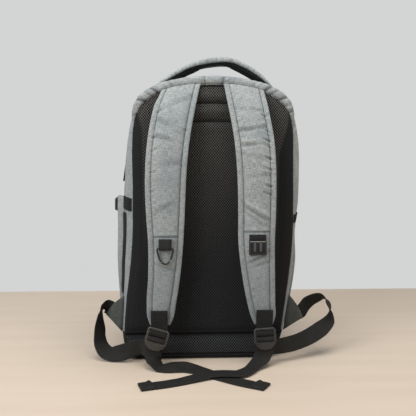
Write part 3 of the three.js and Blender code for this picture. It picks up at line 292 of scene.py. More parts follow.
def grey_cloth(name, from_map=False, tint=(1.0, 1.0, 1.0), seam=None, rim=None):
    """Melange cloth. Along a sewn edge, seam is how far from the edge its stitch groove runs, with a painted shade
    line in it.
    """
    material, tree, shader = start_material(name)
    light, dark, cool = (0.365, 0.382, 0.372), (0.12, 0.13, 0.133), (0.14, 0.168, 0.192)
    weave_node = place_group(tree, melange, {
        "Vector": coordinates(tree, from_map),
        "Light": (*[a * b for a, b in zip(light, tint)], 1),
        "Dark": (*[a * b for a, b in zip(dark, tint)], 1),
        "Cool": (*[a * b for a, b in zip(cool, tint)], 1),
    })
    colour = weave_node.outputs["Color"]
    if seam:
        # A painted shade line in the stitch groove, seam metres from the edge.
        edge = add_node(tree, "Attribute", attribute_name="edge").outputs["Fac"]
        away = calc(tree, "ABSOLUTE", calc(tree, "SUBTRACT", edge, seam))
        line = flipped(tree, between(tree, away, 0.35 * MM, 1.1 * MM))
        colour = mixed(tree, times(tree, line, 0.6), colour, (0.05, 0.053, 0.056))
    # Painted shade: the cloth is darkened towards a dark blue-grey in its creases, puckers and wrinkles.
    fold_shade = add_node(tree, "Attribute", attribute_name="fold_shade").outputs["Fac"]
    colour = mixed(tree, fold_shade, colour, (0.038, 0.047, 0.058))
    height = add_node(tree, "SeparateXYZ", {"Vector": coordinates(tree, False)}).outputs["Z"]
    # The cloth is a little darker and bluer towards the floor, where less of the light comes.
    low_share = times(tree, flipped(tree, between(tree, height, 0.05, 0.34)), 0.5)
    low_shade = tuple(a * b for a, b in zip((0.10, 0.116, 0.13), tint))
    colour = mixed(tree, low_share, colour, low_shade)
    if rim:
        worn_glint = place_group(tree, wear_and_glint, {"Vector": coordinates(tree, False), "Radius": 1.3 * MM})
        colour = mixed(tree, worn_glint.outputs["Mask"], colour, rim)
    tree.links.new(colour, shader.inputs["Base Color"])
    tree.links.new(weave_node.outputs["Roughness"], shader.inputs["Roughness"])
    shader.inputs["Sheen Weight"].default_value = 0.15
    shader.inputs["Specular IOR Level"].default_value = 0.25
    bump(tree, shader, weave_node.outputs["Height"], 0.5, 0.5 * MM)
    return material


PAD_SEAM = 8.5 * MM
HANDLE_SEAM = 6 * MM
body_cloth = grey_cloth("grey cloth")
pad_cloth = grey_cloth("grey pad cloth", from_map=True, seam=PAD_SEAM)
handle_cloth = grey_cloth("grey handle cloth", from_map=True, tint=(1.02, 1.02, 1.02), seam=HANDLE_SEAM)
# The wings are the grey melange darkened into a shaded copy: painted shade. Their edges are painted lighter.
shaded_wing_cloth = grey_cloth("shaded wing cloth", tint=(0.27, 0.275, 0.235), rim=(0.22, 0.22, 0.195))
print("grey cloths made")

# %% [markdown]
# ## Air mesh
# The back is covered with an open spacer mesh: a net of diamonds over dark foam. Modelling each
# hole would take millions of faces, so the net is a pattern of two crossed sets of lines that
# drives the colour and the relief. Near the bound edge the mesh gives way to plain dark cloth.

# %% Air mesh
CELL_WIDE = 3.9 * MM
CELL_TALL = 4.7 * MM
net, given, made = new_group(
    "open net",
    [("Vector", "Vector", None), ("Wide", "Float", CELL_WIDE), ("Tall", "Float", CELL_TALL)],
    [("Threads", "Float"), ("Dots", "Float")],
)
split = add_node(net, "SeparateXYZ", {"Vector": given.outputs["Vector"]})
wobble = times(net, calc(net, "SUBTRACT", noisy(net, given.outputs["Vector"], 30.0), 0.5), 0.5)
sideways = plus(net, calc(net, "DIVIDE", split.outputs["X"], given.outputs["Wide"]), wobble)
upwards = calc(net, "DIVIDE", split.outputs["Z"], given.outputs["Tall"])
sum_turn = times(net, plus(net, sideways, upwards), math.pi)
rising = calc(net, "ABSOLUTE", calc(net, "SINE", sum_turn))
less_turn = times(net, calc(net, "SUBTRACT", sideways, upwards), math.pi)
falling = calc(net, "ABSOLUTE", calc(net, "SINE", less_turn))
nearest = calc(net, "MINIMUM", rising, falling)
net.links.new(flipped(net, between(net, nearest, 0.16, 0.52)), made.inputs["Threads"])
crossing = calc(net, "MAXIMUM", rising, falling)
net.links.new(flipped(net, between(net, crossing, 0.25, 0.7)), made.inputs["Dots"])


def mesh_cloth(name, bright, foot, bound):
    """Open mesh with a plain edge, bound metres wide: its threads painted bright at the top and foot grey below, as
    painted light and shade.
    """
    material, tree, shader = start_material(name)
    net_node = place_group(tree, net, {"Vector": coordinates(tree, False)})
    show = add_node(tree, "Attribute", attribute_name="show").outputs["Fac"]
    edge = add_node(tree, "Attribute", attribute_name="edge").outputs["Fac"]
    open_part = times(tree, between(tree, edge, bound, bound + 0.8 * MM), show)
    threads = times(tree, net_node.outputs["Threads"], open_part)
    dots = times(tree, net_node.outputs["Dots"], open_part)
    plain = (0.0078, 0.0079, 0.0082)
    hole = mixed(tree, open_part, plain, (0.0022, 0.0021, 0.0022))
    height = add_node(tree, "SeparateXYZ", {"Vector": coordinates(tree, False)}).outputs["Z"]
    # Painted light and shade: the threads are lighter and warmer towards the top, where the light falls, and darker
    # below.
    top_light_share = between(tree, height, 0.12, 0.42)
    shaded_thread = tuple(foot * c for c in (0.92, 0.97, 1.05))
    thread_colour = mixed(tree, top_light_share, shaded_thread, bright)
    colour = mixed(tree, threads, hole, thread_colour)
    # The knots where threads cross are painted brighter: a painted highlight.
    knot_highlight = mixed(tree, top_light_share, tuple(2.2 * c for c in shaded_thread), tuple(2.0 * c for c in bright))
    colour = mixed(tree, times(tree, dots, 0.7), colour, knot_highlight)
    # Painted shade along the sewn channels darkens the mesh there.
    channel_shade = add_node(tree, "Attribute", attribute_name="fold_shade").outputs["Fac"]
    colour = mixed(tree, channel_shade, colour, (0.002, 0.002, 0.002))
    tree.links.new(colour, shader.inputs["Base Color"])
    shader.inputs["Roughness"].default_value = 0.85
    shader.inputs["Specular IOR Level"].default_value = 0.2
    bump(tree, shader, plus(tree, threads, times(tree, dots, 0.5)), 0.9, 1.2 * MM)
    return material


BINDING_WIDTH = 2.4 * MM
# The bright colours are the threads lit at the top, and the foot values their painted shade below.
back_mesh = mesh_cloth("air mesh", (0.104, 0.0985, 0.09), 0.023, BINDING_WIDTH)
band_mesh = mesh_cloth("lumbar mesh", (0.13, 0.127, 0.12), 0.052, BINDING_WIDTH)
print("meshes made, cells", CELL_WIDE, "by", CELL_TALL)

# %% [markdown]
# ## Black cloth
# The base, the pipings and the handle's lining are plain black cloth. Real black cloth is never
# one flat tone: a fine noise gives its threads, and a wide one the patches that use leaves.


# %% Black cloth
def black_cloth(name, colour, fine):
    """Plain black cloth, with fine threads to a metre."""
    material, tree, shader = start_material(name)
    place_in = coordinates(tree, False)
    cloth = noisy(tree, stretched(tree, place_in, (fine, fine, fine)), 1.0, 3.0)
    patches = noisy(tree, place_in, 30.0, 2.0)
    share = times(tree, between(tree, plus(tree, cloth, times(tree, patches, 0.3)), 0.45, 0.9), 0.8)
    tree.links.new(mixed(tree, share, colour, tuple(2.6 * c for c in colour)), shader.inputs["Base Color"])
    shader.inputs["Roughness"].default_value = 0.85
    shader.inputs["Specular IOR Level"].default_value = 0.25
    bump(tree, shader, cloth, 0.5, 0.4 * MM)
    return material


black = black_cloth("black cloth", (0.0075, 0.0072, 0.007), 900)
lining_black = black_cloth("black lining", (0.006, 0.006, 0.006), 700)
print("black cloths made")

# %% [markdown]
# ## Webbing
# Strap webbing is woven in a herringbone of close ribs, with a slight sheen. The ribs are a wave
# along the strap that a zigzag shifts from side to side, read from the strap's own map, so that
# they follow each bend. They are too fine to model, so they drive the shade and the relief.

# %% Webbing
rib, given, made = new_group(
    "webbing ribs",
    [("Vector", "Vector", None), ("Pitch", "Float", 1.3 * MM)],
    [("Height", "Float"), ("Shade", "Float")],
)
split = add_node(rib, "SeparateXYZ", {"Vector": given.outputs["Vector"]})
turn = 2 * math.pi
along = calc(rib, "DIVIDE", split.outputs["Z"], given.outputs["Pitch"])
over = calc(rib, "DIVIDE", split.outputs["X"], times(rib, given.outputs["Pitch"], 2.0))
zigzag = calc(rib, "PINGPONG", over, 0.5)
ribs = calc(rib, "SINE", times(rib, plus(rib, along, zigzag), turn))
grain = noisy(rib, stretched(rib, given.outputs["Vector"], (900, 900, 300)), 1.0)
rib.links.new(plus(rib, times(rib, ribs, 0.5), grain), made.inputs["Height"])
wide = noisy(rib, given.outputs["Vector"], 60.0)
uneven = plus(rib, times(rib, grain, 0.5), times(rib, wide, 0.4))
rib.links.new(plus(rib, times(rib, ribs, 0.18), uneven), made.inputs["Shade"])


def webbing_cloth(name, dark, light, from_map=True):
    """Ribbed webbing between a dark and a light shade."""
    material, tree, shader = start_material(name)
    ribs_node = place_group(tree, rib, {"Vector": coordinates(tree, from_map)})
    share = between(tree, ribs_node.outputs["Shade"], 0.2, 0.7)
    tree.links.new(mixed(tree, share, dark, light), shader.inputs["Base Color"])
    shader.inputs["Roughness"].default_value = 0.7
    shader.inputs["Specular IOR Level"].default_value = 0.22
    bump(tree, shader, ribs_node.outputs["Height"], 0.8, 0.5 * MM)
    return material


webbing = webbing_cloth("webbing", (0.0075, 0.0071, 0.0064), (0.0215, 0.0204, 0.0183))
dark_webbing = webbing_cloth("dark webbing", (0.0042, 0.0042, 0.004), (0.0125, 0.0122, 0.0116))
side_webbing = webbing_cloth("side webbing", (0.003, 0.003, 0.003), (0.008, 0.0079, 0.0077), False)

# %% [markdown]
# ## Moulded and metal parts
# The buckles are satin plastic. Along their edges the mask of edges mixes in a lighter colour: mostly
# painted highlight where the edges catch the light, and some polish from handling. The ring is painted
# metal, glossier, with its paint rubbed off in places. Thread has a soft twist, and the floor stays
# plain and pale.


# %% Moulded and metal parts
def plastic(name, colour, glint_colour, roughness, glint_width=0.6 * MM):
    """Satin plastic with lighter edges, painted highlight and some polish, as wide as the last argument in metres."""
    material, tree, shader = start_material(name)
    worn_glint = place_group(tree, wear_and_glint, {"Vector": coordinates(tree, False), "Radius": glint_width})
    tree.links.new(mixed(tree, worn_glint.outputs["Mask"], colour, glint_colour), shader.inputs["Base Color"])
    rough = plus(tree, roughness, times(tree, worn_glint.outputs["Grain"], 0.15))
    tree.links.new(rough, shader.inputs["Roughness"])
    bump(tree, shader, worn_glint.outputs["Grain"], 0.25, 0.1 * MM)
    return material


# The lighter edge colours are painted highlights: champagne on the left lock's bars, silver on the right lock's
# frame.
left_lock_plastic = plastic(
    "left lock plastic", (0.026, 0.0235, 0.0205), (0.24, 0.215, 0.18), 0.26, 1.5 * MM)
right_lock_plastic = plastic(
    "right lock plastic", (0.017, 0.0175, 0.019), (0.27, 0.275, 0.285), 0.24, 1.1 * MM)
dark_plastic = plastic("dark plastic", (0.0075, 0.0075, 0.008), (0.05, 0.049, 0.047), 0.32)
# The ribs' light blue-grey is a painted reflection on the keeper's black ribs.
rib_glint_plastic = plastic("rib glint plastic", (0.05, 0.056, 0.066), (0.12, 0.13, 0.145), 0.3)
# The keeper's lip is light beige all over: a painted highlight along the keeper's top edge.
lit_rim_plastic = plastic("keeper lit rim", (0.17, 0.155, 0.135), (0.3, 0.28, 0.25), 0.45)
tongue_plastic = plastic("pull plastic", (0.009, 0.009, 0.0095), (0.05, 0.05, 0.05), 0.4)

ring_paint, tree, shader = start_material("ring paint")
worn_glint = place_group(tree, wear_and_glint, {"Vector": coordinates(tree, False)})
rubbed = between(tree, noisy(tree, coordinates(tree, False), 110.0), 0.56, 0.66)
tree.links.new(mixed(tree, rubbed, (0.012, 0.012, 0.012), (0.42, 0.39, 0.34)), shader.inputs["Base Color"])
tree.links.new(plus(tree, 0.25, times(tree, rubbed, 0.75)), shader.inputs["Metallic"])
rough = plus(tree, 0.16, times(tree, worn_glint.outputs["Grain"], 0.2))
tree.links.new(rough, shader.inputs["Roughness"])


def plain_thread(name, colour):
    """Sewing thread, darker in the valleys of its twist."""
    material, tree, shader = start_material(name)
    twist = noisy(tree, stretched(tree, coordinates(tree, False), (1500, 1500, 1500)), 1.0)
    tree.links.new(mixed(tree, twist, tuple(0.6 * c for c in colour), colour), shader.inputs["Base Color"])
    shader.inputs["Roughness"].default_value = 0.7
    return material


grey_thread = plain_thread("grey thread", (0.13, 0.135, 0.14))
black_thread = plain_thread("black thread", (0.02, 0.02, 0.02))

floor_paint, tree, shader = start_material("pale floor")
tone = noisy(tree, stretched(tree, coordinates(tree, False), (3, 30, 3)), 1.0, 4.0)
pale = mixed(tree, tone, (0.50, 0.405, 0.315), (0.59, 0.49, 0.39))
tree.links.new(pale, shader.inputs["Base Color"])
shader.inputs["Roughness"].default_value = 0.55
floor.data.materials.append(floor_paint)
print("materials:", len(bpy.data.materials))

# %% [markdown]
# ## Helpers for shapes
# The cloth pieces are skins: a grid that is bent into place, row by row. The rows are read off
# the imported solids, so each skin lies where its solid is, and can then be given folds. Rays find
# the solids' faces, and slices find their width.

# %% Helpers for shapes
WELD = 0.02 * MM


def merged(node):
    """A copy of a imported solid's mesh with its loose triangles joined."""
    bm = bmesh.new()
    bm.from_mesh(nodes[node].data)
    bmesh.ops.remove_doubles(bm, verts=bm.verts, dist=WELD)
    return bm


def tree_of(*names):
    """A searchable copy of some solids, for rays."""
    bm = bmesh.new()
    for name in names:
        bm.from_mesh(nodes[name].data)
    found = BVHTree.FromBMesh(bm)
    bm.free()
    return found


def smoothstep(x):
    """0 below 0, 1 above 1 and a soft step between."""
    x = np.clip(x, 0, 1)
    return x * x * (3 - 2 * x)


def bell(distance, width):
    """1 at no distance, and falling softly to nothing over about two widths."""
    return np.exp(-((distance / width) ** 2))


def cloud(points, scale, seed):
    """Smooth noise from -1 to 1 at each point of an array, the same on every run."""
    flat = points.reshape(-1, 3) * scale + seed * 17.3
    values = [noise.noise(Vector(p)) for p in flat]
    return np.array(values).reshape(points.shape[:-1])


def smoothed(rows, sigma, axis=0):
    """Rows of numbers averaged along an axis, with the ends kept where they are."""
    reach = max(int(3 * sigma), 1)
    weights = np.exp(-0.5 * (np.arange(-reach, reach + 1) / sigma) ** 2)
    weights /= weights.sum()
    data = np.moveaxis(rows, axis, 0)
    before = 2 * data[:1] - data[1:reach + 1][::-1]
    after = 2 * data[-1:] - data[-reach - 1:-1][::-1]
    padded_rows = np.concatenate([before, data, after])
    out = sum(w * padded_rows[i:i + len(data)] for i, w in enumerate(weights))
    return np.moveaxis(out, 0, axis)


def add_piece(bm, name, material, body="bag"):
    """Turns a bmesh into a finished piece of the bag."""
    mesh = bpy.data.meshes.new(name)
    bm.to_mesh(mesh)
    bm.free()
    mesh.polygons.foreach_set("use_smooth", [True] * len(mesh.polygons))
    mesh.materials.append(material)
    piece = bpy.data.objects.new(name, mesh)
    scene.collection.objects.link(piece)
    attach(piece, body)
    return piece


def skin(name, points, material, uv=None, values=None):
    """A grid bent to an array of places, rows by columns, and closed to a capped tube."""
    rows, columns = points.shape[:2]
    bm = bmesh.new()
    bmesh.ops.create_grid(bm, x_segments=columns - 1, y_segments=rows - 1, size=0.5)
    map_layer = bm.loops.layers.uv.new("UVMap") if uv is not None else None
    for key in values or {}:
        bm.verts.layers.float.new(key)
    cell = {}
    for vert in bm.verts:
        column = round((vert.co.x + 0.5) * (columns - 1))
        row = round((vert.co.y + 0.5) * (rows - 1))
        cell[vert] = (row, column)
    if uv is not None:
        for face in bm.faces:
            for loop in face.loops:
                loop[map_layer].uv = uv[cell[loop.vert]]
    for key, array in (values or {}).items():
        layer = bm.verts.layers.float[key]
        for vert, at in cell.items():
            vert[layer] = array[at]
    for vert, at in cell.items():
        vert.co = points[at]
    bmesh.ops.remove_doubles(bm, verts=bm.verts, dist=WELD / 4)
    rim = [edge for edge in bm.edges if edge.is_boundary]
    bmesh.ops.holes_fill(bm, edges=rim, sides=0)
    bmesh.ops.recalc_face_normals(bm, faces=bm.faces)
    return add_piece(bm, name, material)


def slice_of(node, height):
    """Lowest and highest x and y of a solid at a height."""
    mesh = nodes[node].data
    co = np.empty(len(mesh.vertices) * 3)
    mesh.vertices.foreach_get("co", co)
    co = co.reshape(-1, 3)
    ends = np.empty(len(mesh.edges) * 2, dtype=np.int32)
    mesh.edges.foreach_get("vertices", ends)
    a, b = co[ends[::2]], co[ends[1::2]]
    cut = (a[:, 2] - height) * (b[:, 2] - height) < 0
    a, b = a[cut], b[cut]
    share = (height - a[:, 2]) / (b[:, 2] - a[:, 2])
    at = a + (b - a) * share[:, None]
    return at[:, 0].min(), at[:, 0].max(), at[:, 1].min(), at[:, 1].max()


def dressed(node, name, material, levels=2, push=None, body="bag", sharp=50):
    """A smoothed copy of a solid, which then stands for it. push moves its outer face."""
    bm = merged(node)
    bmesh.ops.join_triangles(bm, faces=bm.faces, angle_face_threshold=math.radians(45),
                             angle_shape_threshold=math.radians(60))
    crease = bm.edges.layers.float.new("crease_edge")
    for edge in bm.edges:
        if len(edge.link_faces) == 2 and edge.calc_face_angle() > math.radians(sharp):
            edge[crease] = 1
    mesh = bpy.data.meshes.new("rough")
    bm.to_mesh(mesh)
    bm.free()
    rough = bpy.data.objects.new("rough", mesh)
    scene.collection.objects.link(rough)
    modifier = rough.modifiers.new("Smooth", "SUBSURF")
    modifier.levels = modifier.render_levels = levels
    fine = bmesh.new()
    fine.from_object(rough, bpy.context.evaluated_depsgraph_get())
    bpy.data.objects.remove(rough)
    bpy.data.meshes.remove(mesh)
    if push:
        fine.normal_update()
        shifts = push(np.array([v.co for v in fine.verts]), np.array([v.normal for v in fine.verts]))
        for vert, shift in zip(fine.verts, shifts):
            vert.co += Vector(shift)
    piece = add_piece(fine, name, material, body)
    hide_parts(node)
    return piece


def moulded(node, name, material, radius=0.5 * MM):
    """A copy of a hard solid with its edges rounded, which then stands for it."""
    bm = merged(node)
    bmesh.ops.dissolve_limit(bm, angle_limit=math.radians(4), verts=bm.verts, edges=bm.edges)
    sharp = [e for e in bm.edges if len(e.link_faces) == 2 and e.calc_face_angle() > math.radians(35)]
    bmesh.ops.bevel(bm, geom=sharp, offset=radius, segments=2, profile=0.5, affect="EDGES",
                    material=-1, clamp_overlap=True)
    piece = add_piece(bm, name, material)
    piece.data.set_sharp_from_angle(angle=math.radians(40))
    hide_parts(node)
    return piece


def tube(name, points, radius, material):
    """A round cord of cloth or thread along a line."""
    curve = bpy.data.curves.new(name, "CURVE")
    curve.dimensions = "3D"
    curve.bevel_depth = radius
    curve.bevel_resolution = 2
    curve.use_fill_caps = True
    spline = curve.splines.new("POLY")
    spline.points.add(len(points) - 1)
    for point, at in zip(spline.points, points):
        point.co = (*at, 1)
    drawn = bpy.data.objects.new(name + " line", curve)
    scene.collection.objects.link(drawn)
    solid = bpy.data.meshes.new_from_object(drawn.evaluated_get(bpy.context.evaluated_depsgraph_get()))
    bm = bmesh.new()
    bm.from_mesh(solid)
    bpy.data.objects.remove(drawn)
    bpy.data.meshes.remove(solid)
    bmesh.ops.remove_doubles(bm, verts=bm.verts, dist=WELD / 10)
    bmesh.ops.recalc_face_normals(bm, faces=bm.faces)
    return add_piece(bm, name, material)


def walked(points, step):
    """Places along a line, a step apart, and the line's direction at each."""
    points = np.asarray(points)
    lengths = np.linalg.norm(np.diff(points, axis=0), axis=1)
    along = np.concatenate([[0], np.cumsum(lengths)])
    at = np.arange(step / 2, along[-1], step)
    found = np.stack([np.interp(at, along, points[:, k]) for k in range(3)], axis=1)
    further = np.minimum(at + step / 4, along[-1])
    ahead = np.stack([np.interp(further, along, points[:, k]) for k in range(3)], axis=1)
    run = ahead - found
    return found, run / np.maximum(np.linalg.norm(run, axis=1, keepdims=True), 1e-9)


def stitches(name, lines, material, pitch=3.6 * MM, long=2.5 * MM, thick=0.32 * MM):
    """A row of sewn stitches along each line of (points, outward normals)."""
    bm = bmesh.new()
    for points, normals in lines:
        places, runs = walked(points, pitch)
        for place_at, run in zip(places, runs):
            nearest_row = np.argmin(np.linalg.norm(np.asarray(points) - place_at, axis=1))
            out = Vector(normals[nearest_row]).normalized()
            made_ball = bmesh.ops.create_icosphere(bm, subdivisions=1, radius=thick)
            x = Vector(run).normalized()
            y = out.cross(x).normalized()
            for vert in made_ball["verts"]:
                flat = vert.co.copy()
                vert.co = Vector(place_at) + x * flat.x * (long / 2 / thick) + y * flat.y + out * flat.z
    print(name, len(bm.faces), "faces")
    return add_piece(bm, name, material)


# %% [markdown]
# ## The bag's body
# The grey cloth runs round both sides and over the crown. It is a loft that sags a little and
# puckers where it is sewn to the padded back, most at the crown's corners. Rays from the bag's
# middle find the solid's face, and the skin is laid there on a fine grid that can hold puckers.

# %% The bag's body
MIDDLE = np.array([-0.003, 0.0, 0.24])
SEAM_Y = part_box("gusset")[0].y
# Puckers at the back seam: place across and up, depth, and half width, in millimetres.
CROWN_Z = 0.31
PUCKERS = [
    (-124, 352, 0.9, 4.0), (-119, 380, 1.2, 4.5), (-106, 400, 2.2, 6.0), (-97, 410, 1.0, 3.5), (-88, 418, 2.4, 6.5),
    (-62, 423, 0.8, 5.0), (-13, 429, 2.0, 2.2), (14, 428, 2.0, 5.5), (30, 427, 0.7, 4.0), (60, 422, 0.6, 4.0),
    (80, 416, 2.3, 7.0), (90, 410, 1.5, 3.5), (101, 402, 2.2, 6.5), (109, 392, 1.2, 3.0), (117, 385, 1.9, 5.0),
    (121, 373, 1.2, 3.0), (124, 362, 1.0, 3.0), (126, 350, 0.8, 3.5),
]


def sag(points):
    """How far the body's cloth stands out of or sinks below the plain form, in metres."""
    soft = 1.1 * MM * cloud(points, 14, 1) + 0.5 * MM * cloud(points * (1, 1.6, 1), 40, 2)
    return soft * smoothstep((0.47 - points[..., 2]) / 0.1) * smoothstep((points[..., 2] - 0.012) / 0.03)


def body_push(points, normals):
    """Moves cloth on the body with the sag, outwards from the bag's middle line."""
    flat = points - MIDDLE
    out = flat * (1, 0, 1)
    out /= np.linalg.norm(out, axis=1, keepdims=True)
    return out * sag(points)[:, None]


def ray_frame(depth, along):
    """Where a ray starts and its outward way. Below -1 and above 1 it comes straight from a side."""
    if abs(along) >= 1:
        side = math.copysign(1, along)
        height = CROWN_Z - (abs(along) - 1) * (CROWN_Z - BODY_FOOT)
        return Vector((MIDDLE[0] + side * 0.5, depth, height)), Vector((side, 0, 0))
    angle = along * math.pi / 2
    out = Vector((math.sin(angle), 0, math.cos(angle)))
    return Vector((MIDDLE[0], depth, CROWN_Z)) + out * 0.5, out


def around(solid, depths, places):
    """Where such rays meet a solid, by place along the outline and depth."""
    found = np.zeros((len(places), len(depths), 3))
    for i, along in enumerate(places):
        for j, depth in enumerate(depths):
            start, out = ray_frame(depth, along)
            hit = solid.ray_cast(start, -out)[0]
            found[i, j] = hit if hit is not None else (math.nan,) * 3
    return found


gusset_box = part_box("gusset")
gusset_solid = tree_of("gusset")
BODY_FOOT = gusset_box[0].z + 2.8 * MM
rough_places = np.linspace(-2, 2, 900)
line = around(gusset_solid, [-0.03], rough_places)[:, 0]
walk = np.concatenate([[0], np.cumsum(np.linalg.norm(np.diff(line, axis=0), axis=1))])
GUSSET_STEP = 1.9 * MM
places = np.interp(np.linspace(0, walk[-1], round(walk[-1] / GUSSET_STEP)), walk, rough_places)
near_seam = np.array([0.0, 0.5, 1.1, 1.8, 2.6, 3.5, 4.5, 5.7, 7, 8.5, 10, 12, 14, 16.5, 19]) * MM
depths = np.concatenate([
    SEAM_Y + 0.04 * MM + near_seam,
    np.linspace(SEAM_Y + 22 * MM, -SEAM_Y - 8 * MM, 34),
    -SEAM_Y - 0.04 * MM - np.array([5.5, 3.5, 1.8, 0.8, 0.0]) * MM,
])
outer = around(gusset_solid, depths, places)
print("gusset grid", outer.shape[:2], "missed rays:", int(np.isnan(outer[..., 0]).sum()))
whole = ~np.isnan(outer).any(axis=(1, 2))
outer, places = outer[whole], places[whole]
outer = smoothed(outer, 5, 0)
out_dirs = np.array([ray_frame(0, p)[1] for p in places])
seam_walk = np.concatenate([[0], np.cumsum(np.linalg.norm(np.diff(outer[:, 0], axis=0), axis=1))])
inward = depths - SEAM_Y
rise = sag(outer)
fold_shade = np.zeros(rise.shape)
for x, z, deep, wide in PUCKERS:
    row = np.argmin(np.linalg.norm(outer[:, 0] - (x * MM, SEAM_Y, z * MM), axis=1))
    lean = 0.12 * math.sin(x * 1.7)
    away = seam_walk[:, None] - seam_walk[row] - lean * inward[None, :]
    spread = wide * MM * (0.55 + 0.45 * smoothstep(inward / 0.012))[None, :]
    fade = (smoothstep(inward / 0.0016) * (1 - smoothstep((inward - 0.004) / 0.018)))[None, :]
    rise += -deep * MM * fade * bell(away, spread)
    rise += 0.38 * deep * MM * fade * (bell(away - 2.1 * spread, spread) + bell(away + 2.1 * spread, spread))
    # Painted shade in the pucker's valley.
    fold_shade = np.maximum(fold_shade, min(0.28 * deep, 0.75) * fade * bell(away, 0.55 * spread))
outer += out_dirs[:, None, :] * rise[..., None]
WALL = 2.2 * MM
inner_columns = np.linspace(0, len(depths) - 1, 16).round().astype(int)
inner = outer[:, inner_columns] - out_dirs[:, None, :] * WALL
section = np.concatenate([outer, inner[:, ::-1], outer[:, :1]], axis=1)
fold_shade_in = np.pad(fold_shade, ((0, 0), (0, len(inner_columns) + 1)))
gusset_skin = skin("gusset_cloth", section, body_cloth, values={"fold_shade": fold_shade_in})
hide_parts("gusset")
print("gusset skin", len(gusset_skin.data.polygons), "faces")

# %% [markdown]
# ## The rolled edge
# Over the crown the gusset's edge is turned into a soft roll, gathered at its puckers. It is a
# tube along the seam that is squeezed at each pucker, more on its front than behind. Without it
# the crown would end in a hard corner. Thin black cords along the back seam and under the roll
# are painted shade in those seams; a thin piping runs along the front seam.

# %% The rolled edge
ROLL_RADIUS = 7.2 * MM
ROLL_FOOT = 0.352
on_roll = outer[:, 0, 2] > ROLL_FOOT
roll_line = outer[on_roll, 0]
roll_out = out_dirs[on_roll]
roll_walk = seam_walk[on_roll]
roll_end = smoothstep((roll_line[:, 2] - ROLL_FOOT) / 0.055)
radius = ROLL_RADIUS * (0.22 + 0.78 * roll_end)
radius *= 1 + 0.06 * cloud(roll_line, 60, 41)
turns = np.linspace(0, 2 * math.pi, 41)
on_front = 0.25 + 0.75 * smoothstep((np.sin(turns) + 0.2) / 0.8)
squeeze = np.ones((len(roll_line), len(turns)))
roll_fold_shade = np.zeros(squeeze.shape)
for index, (x, z, deep, wide) in enumerate(PUCKERS):
    row = np.argmin(np.linalg.norm(roll_line - (x * MM, SEAM_Y, z * MM), axis=1))
    lean = (1.6 + 1.2 * math.sin(7 * index)) * MM * math.copysign(1, x)
    away = (roll_walk - roll_walk[row])[:, None] + lean * (turns - 2.0)[None, :]
    squeeze *= 1 - 0.105 * deep * on_front * bell(away, 0.4 * wide * MM)
    squeeze *= 1 + 0.035 * deep * on_front * bell(away - 1.1 * wide * MM, 0.7 * wide * MM)
    # Painted shade in each gather of the roll.
    roll_fold_shade = np.maximum(roll_fold_shade, min(0.4 * deep, 0.85) * on_front * bell(away, 0.36 * wide * MM))
across_roll = np.array([0.0, -1.0, 0.0])
lift, forward = 4.2 * MM * roll_end[:, None], 6.0 * MM * roll_end[:, None] - 1.6 * MM
centre = roll_line + roll_out * lift + across_roll * forward
round_it = np.stack([np.cos(turns), np.sin(turns), turns * 0], axis=1)[None] * 0.006
crease_noise = 1 + 0.045 * cloud(centre[:, None, :] + round_it, 150, 43)
ring = np.cos(turns)[None, :, None] * roll_out[:, None, :] * 1.15 + np.sin(turns)[None, :, None] * across_roll
roll_points = centre[:, None, :] + ring * (radius[:, None] * crease_noise * squeeze)[..., None]
roll_points[:, -1] = roll_points[:, 0]
seam_shade = 0.8 * bell(turns - math.radians(127), math.radians(5)) * roll_end[:, None]
roll_values = {"fold_shade": np.maximum(roll_fold_shade, seam_shade)}
skin("rolled_edge", roll_points, body_cloth, values=roll_values)
under_roll = centre - roll_out * (radius * 1.05)[:, None] + across_roll * (0.5 * radius)[:, None]
# A thin black cord under the roll: painted shadow where the roll meets the back.
tube("roll_seam_shade_cord", under_roll[::2], 0.6 * MM, black)

# A thin black cord along the back seam closes the gap there and is painted shade for it.
seam_shade_line = outer[:, 0] + (0, -0.1 * MM, 0)
tube("back_seam_shade_cord", seam_shade_line[::3], 0.9 * MM, black)
front_line = outer[:, -1] + (0, 0.1 * MM, 0)
tube("front_piping", front_line[::3], 1.1 * MM, black)
print("rolled edge", roll_points.shape[:2], "piping", len(seam_shade_line))

# %% [markdown]
# ## Base and front
# The base is heavy black cloth, and the front is a plain bulged panel. Neither has fine folds in
# the photograph, so each is a smoothed copy of its solid that sways with the body.

# %% Base and front
dressed("base", "base_cloth", black, 2, body_push)


def front_push(points, normals):
    """The front panel sways like the body and is slack in its middle."""
    soft = 1.6 * MM * cloud(points, 9, 5) + 0.5 * MM * cloud(points, 30, 6)
    out = np.zeros_like(points)
    out[:, 1] = soft * smoothstep((points[:, 1] - 0.074) / 0.008)
    return out


dressed("front_panel", "front_cloth", body_cloth, 2, front_push)

# %% [markdown]
# ## The padded mesh back
# The back is foam behind open mesh, sewn down along two channels between the straps. Its skin is
# read from the solid in rows, closed behind, and carries values for its material: how far a place is
# from the bound edge, how much of the mesh pattern shows (at the sides it is painted out, as painted
# shade), and painted shade along the channels.


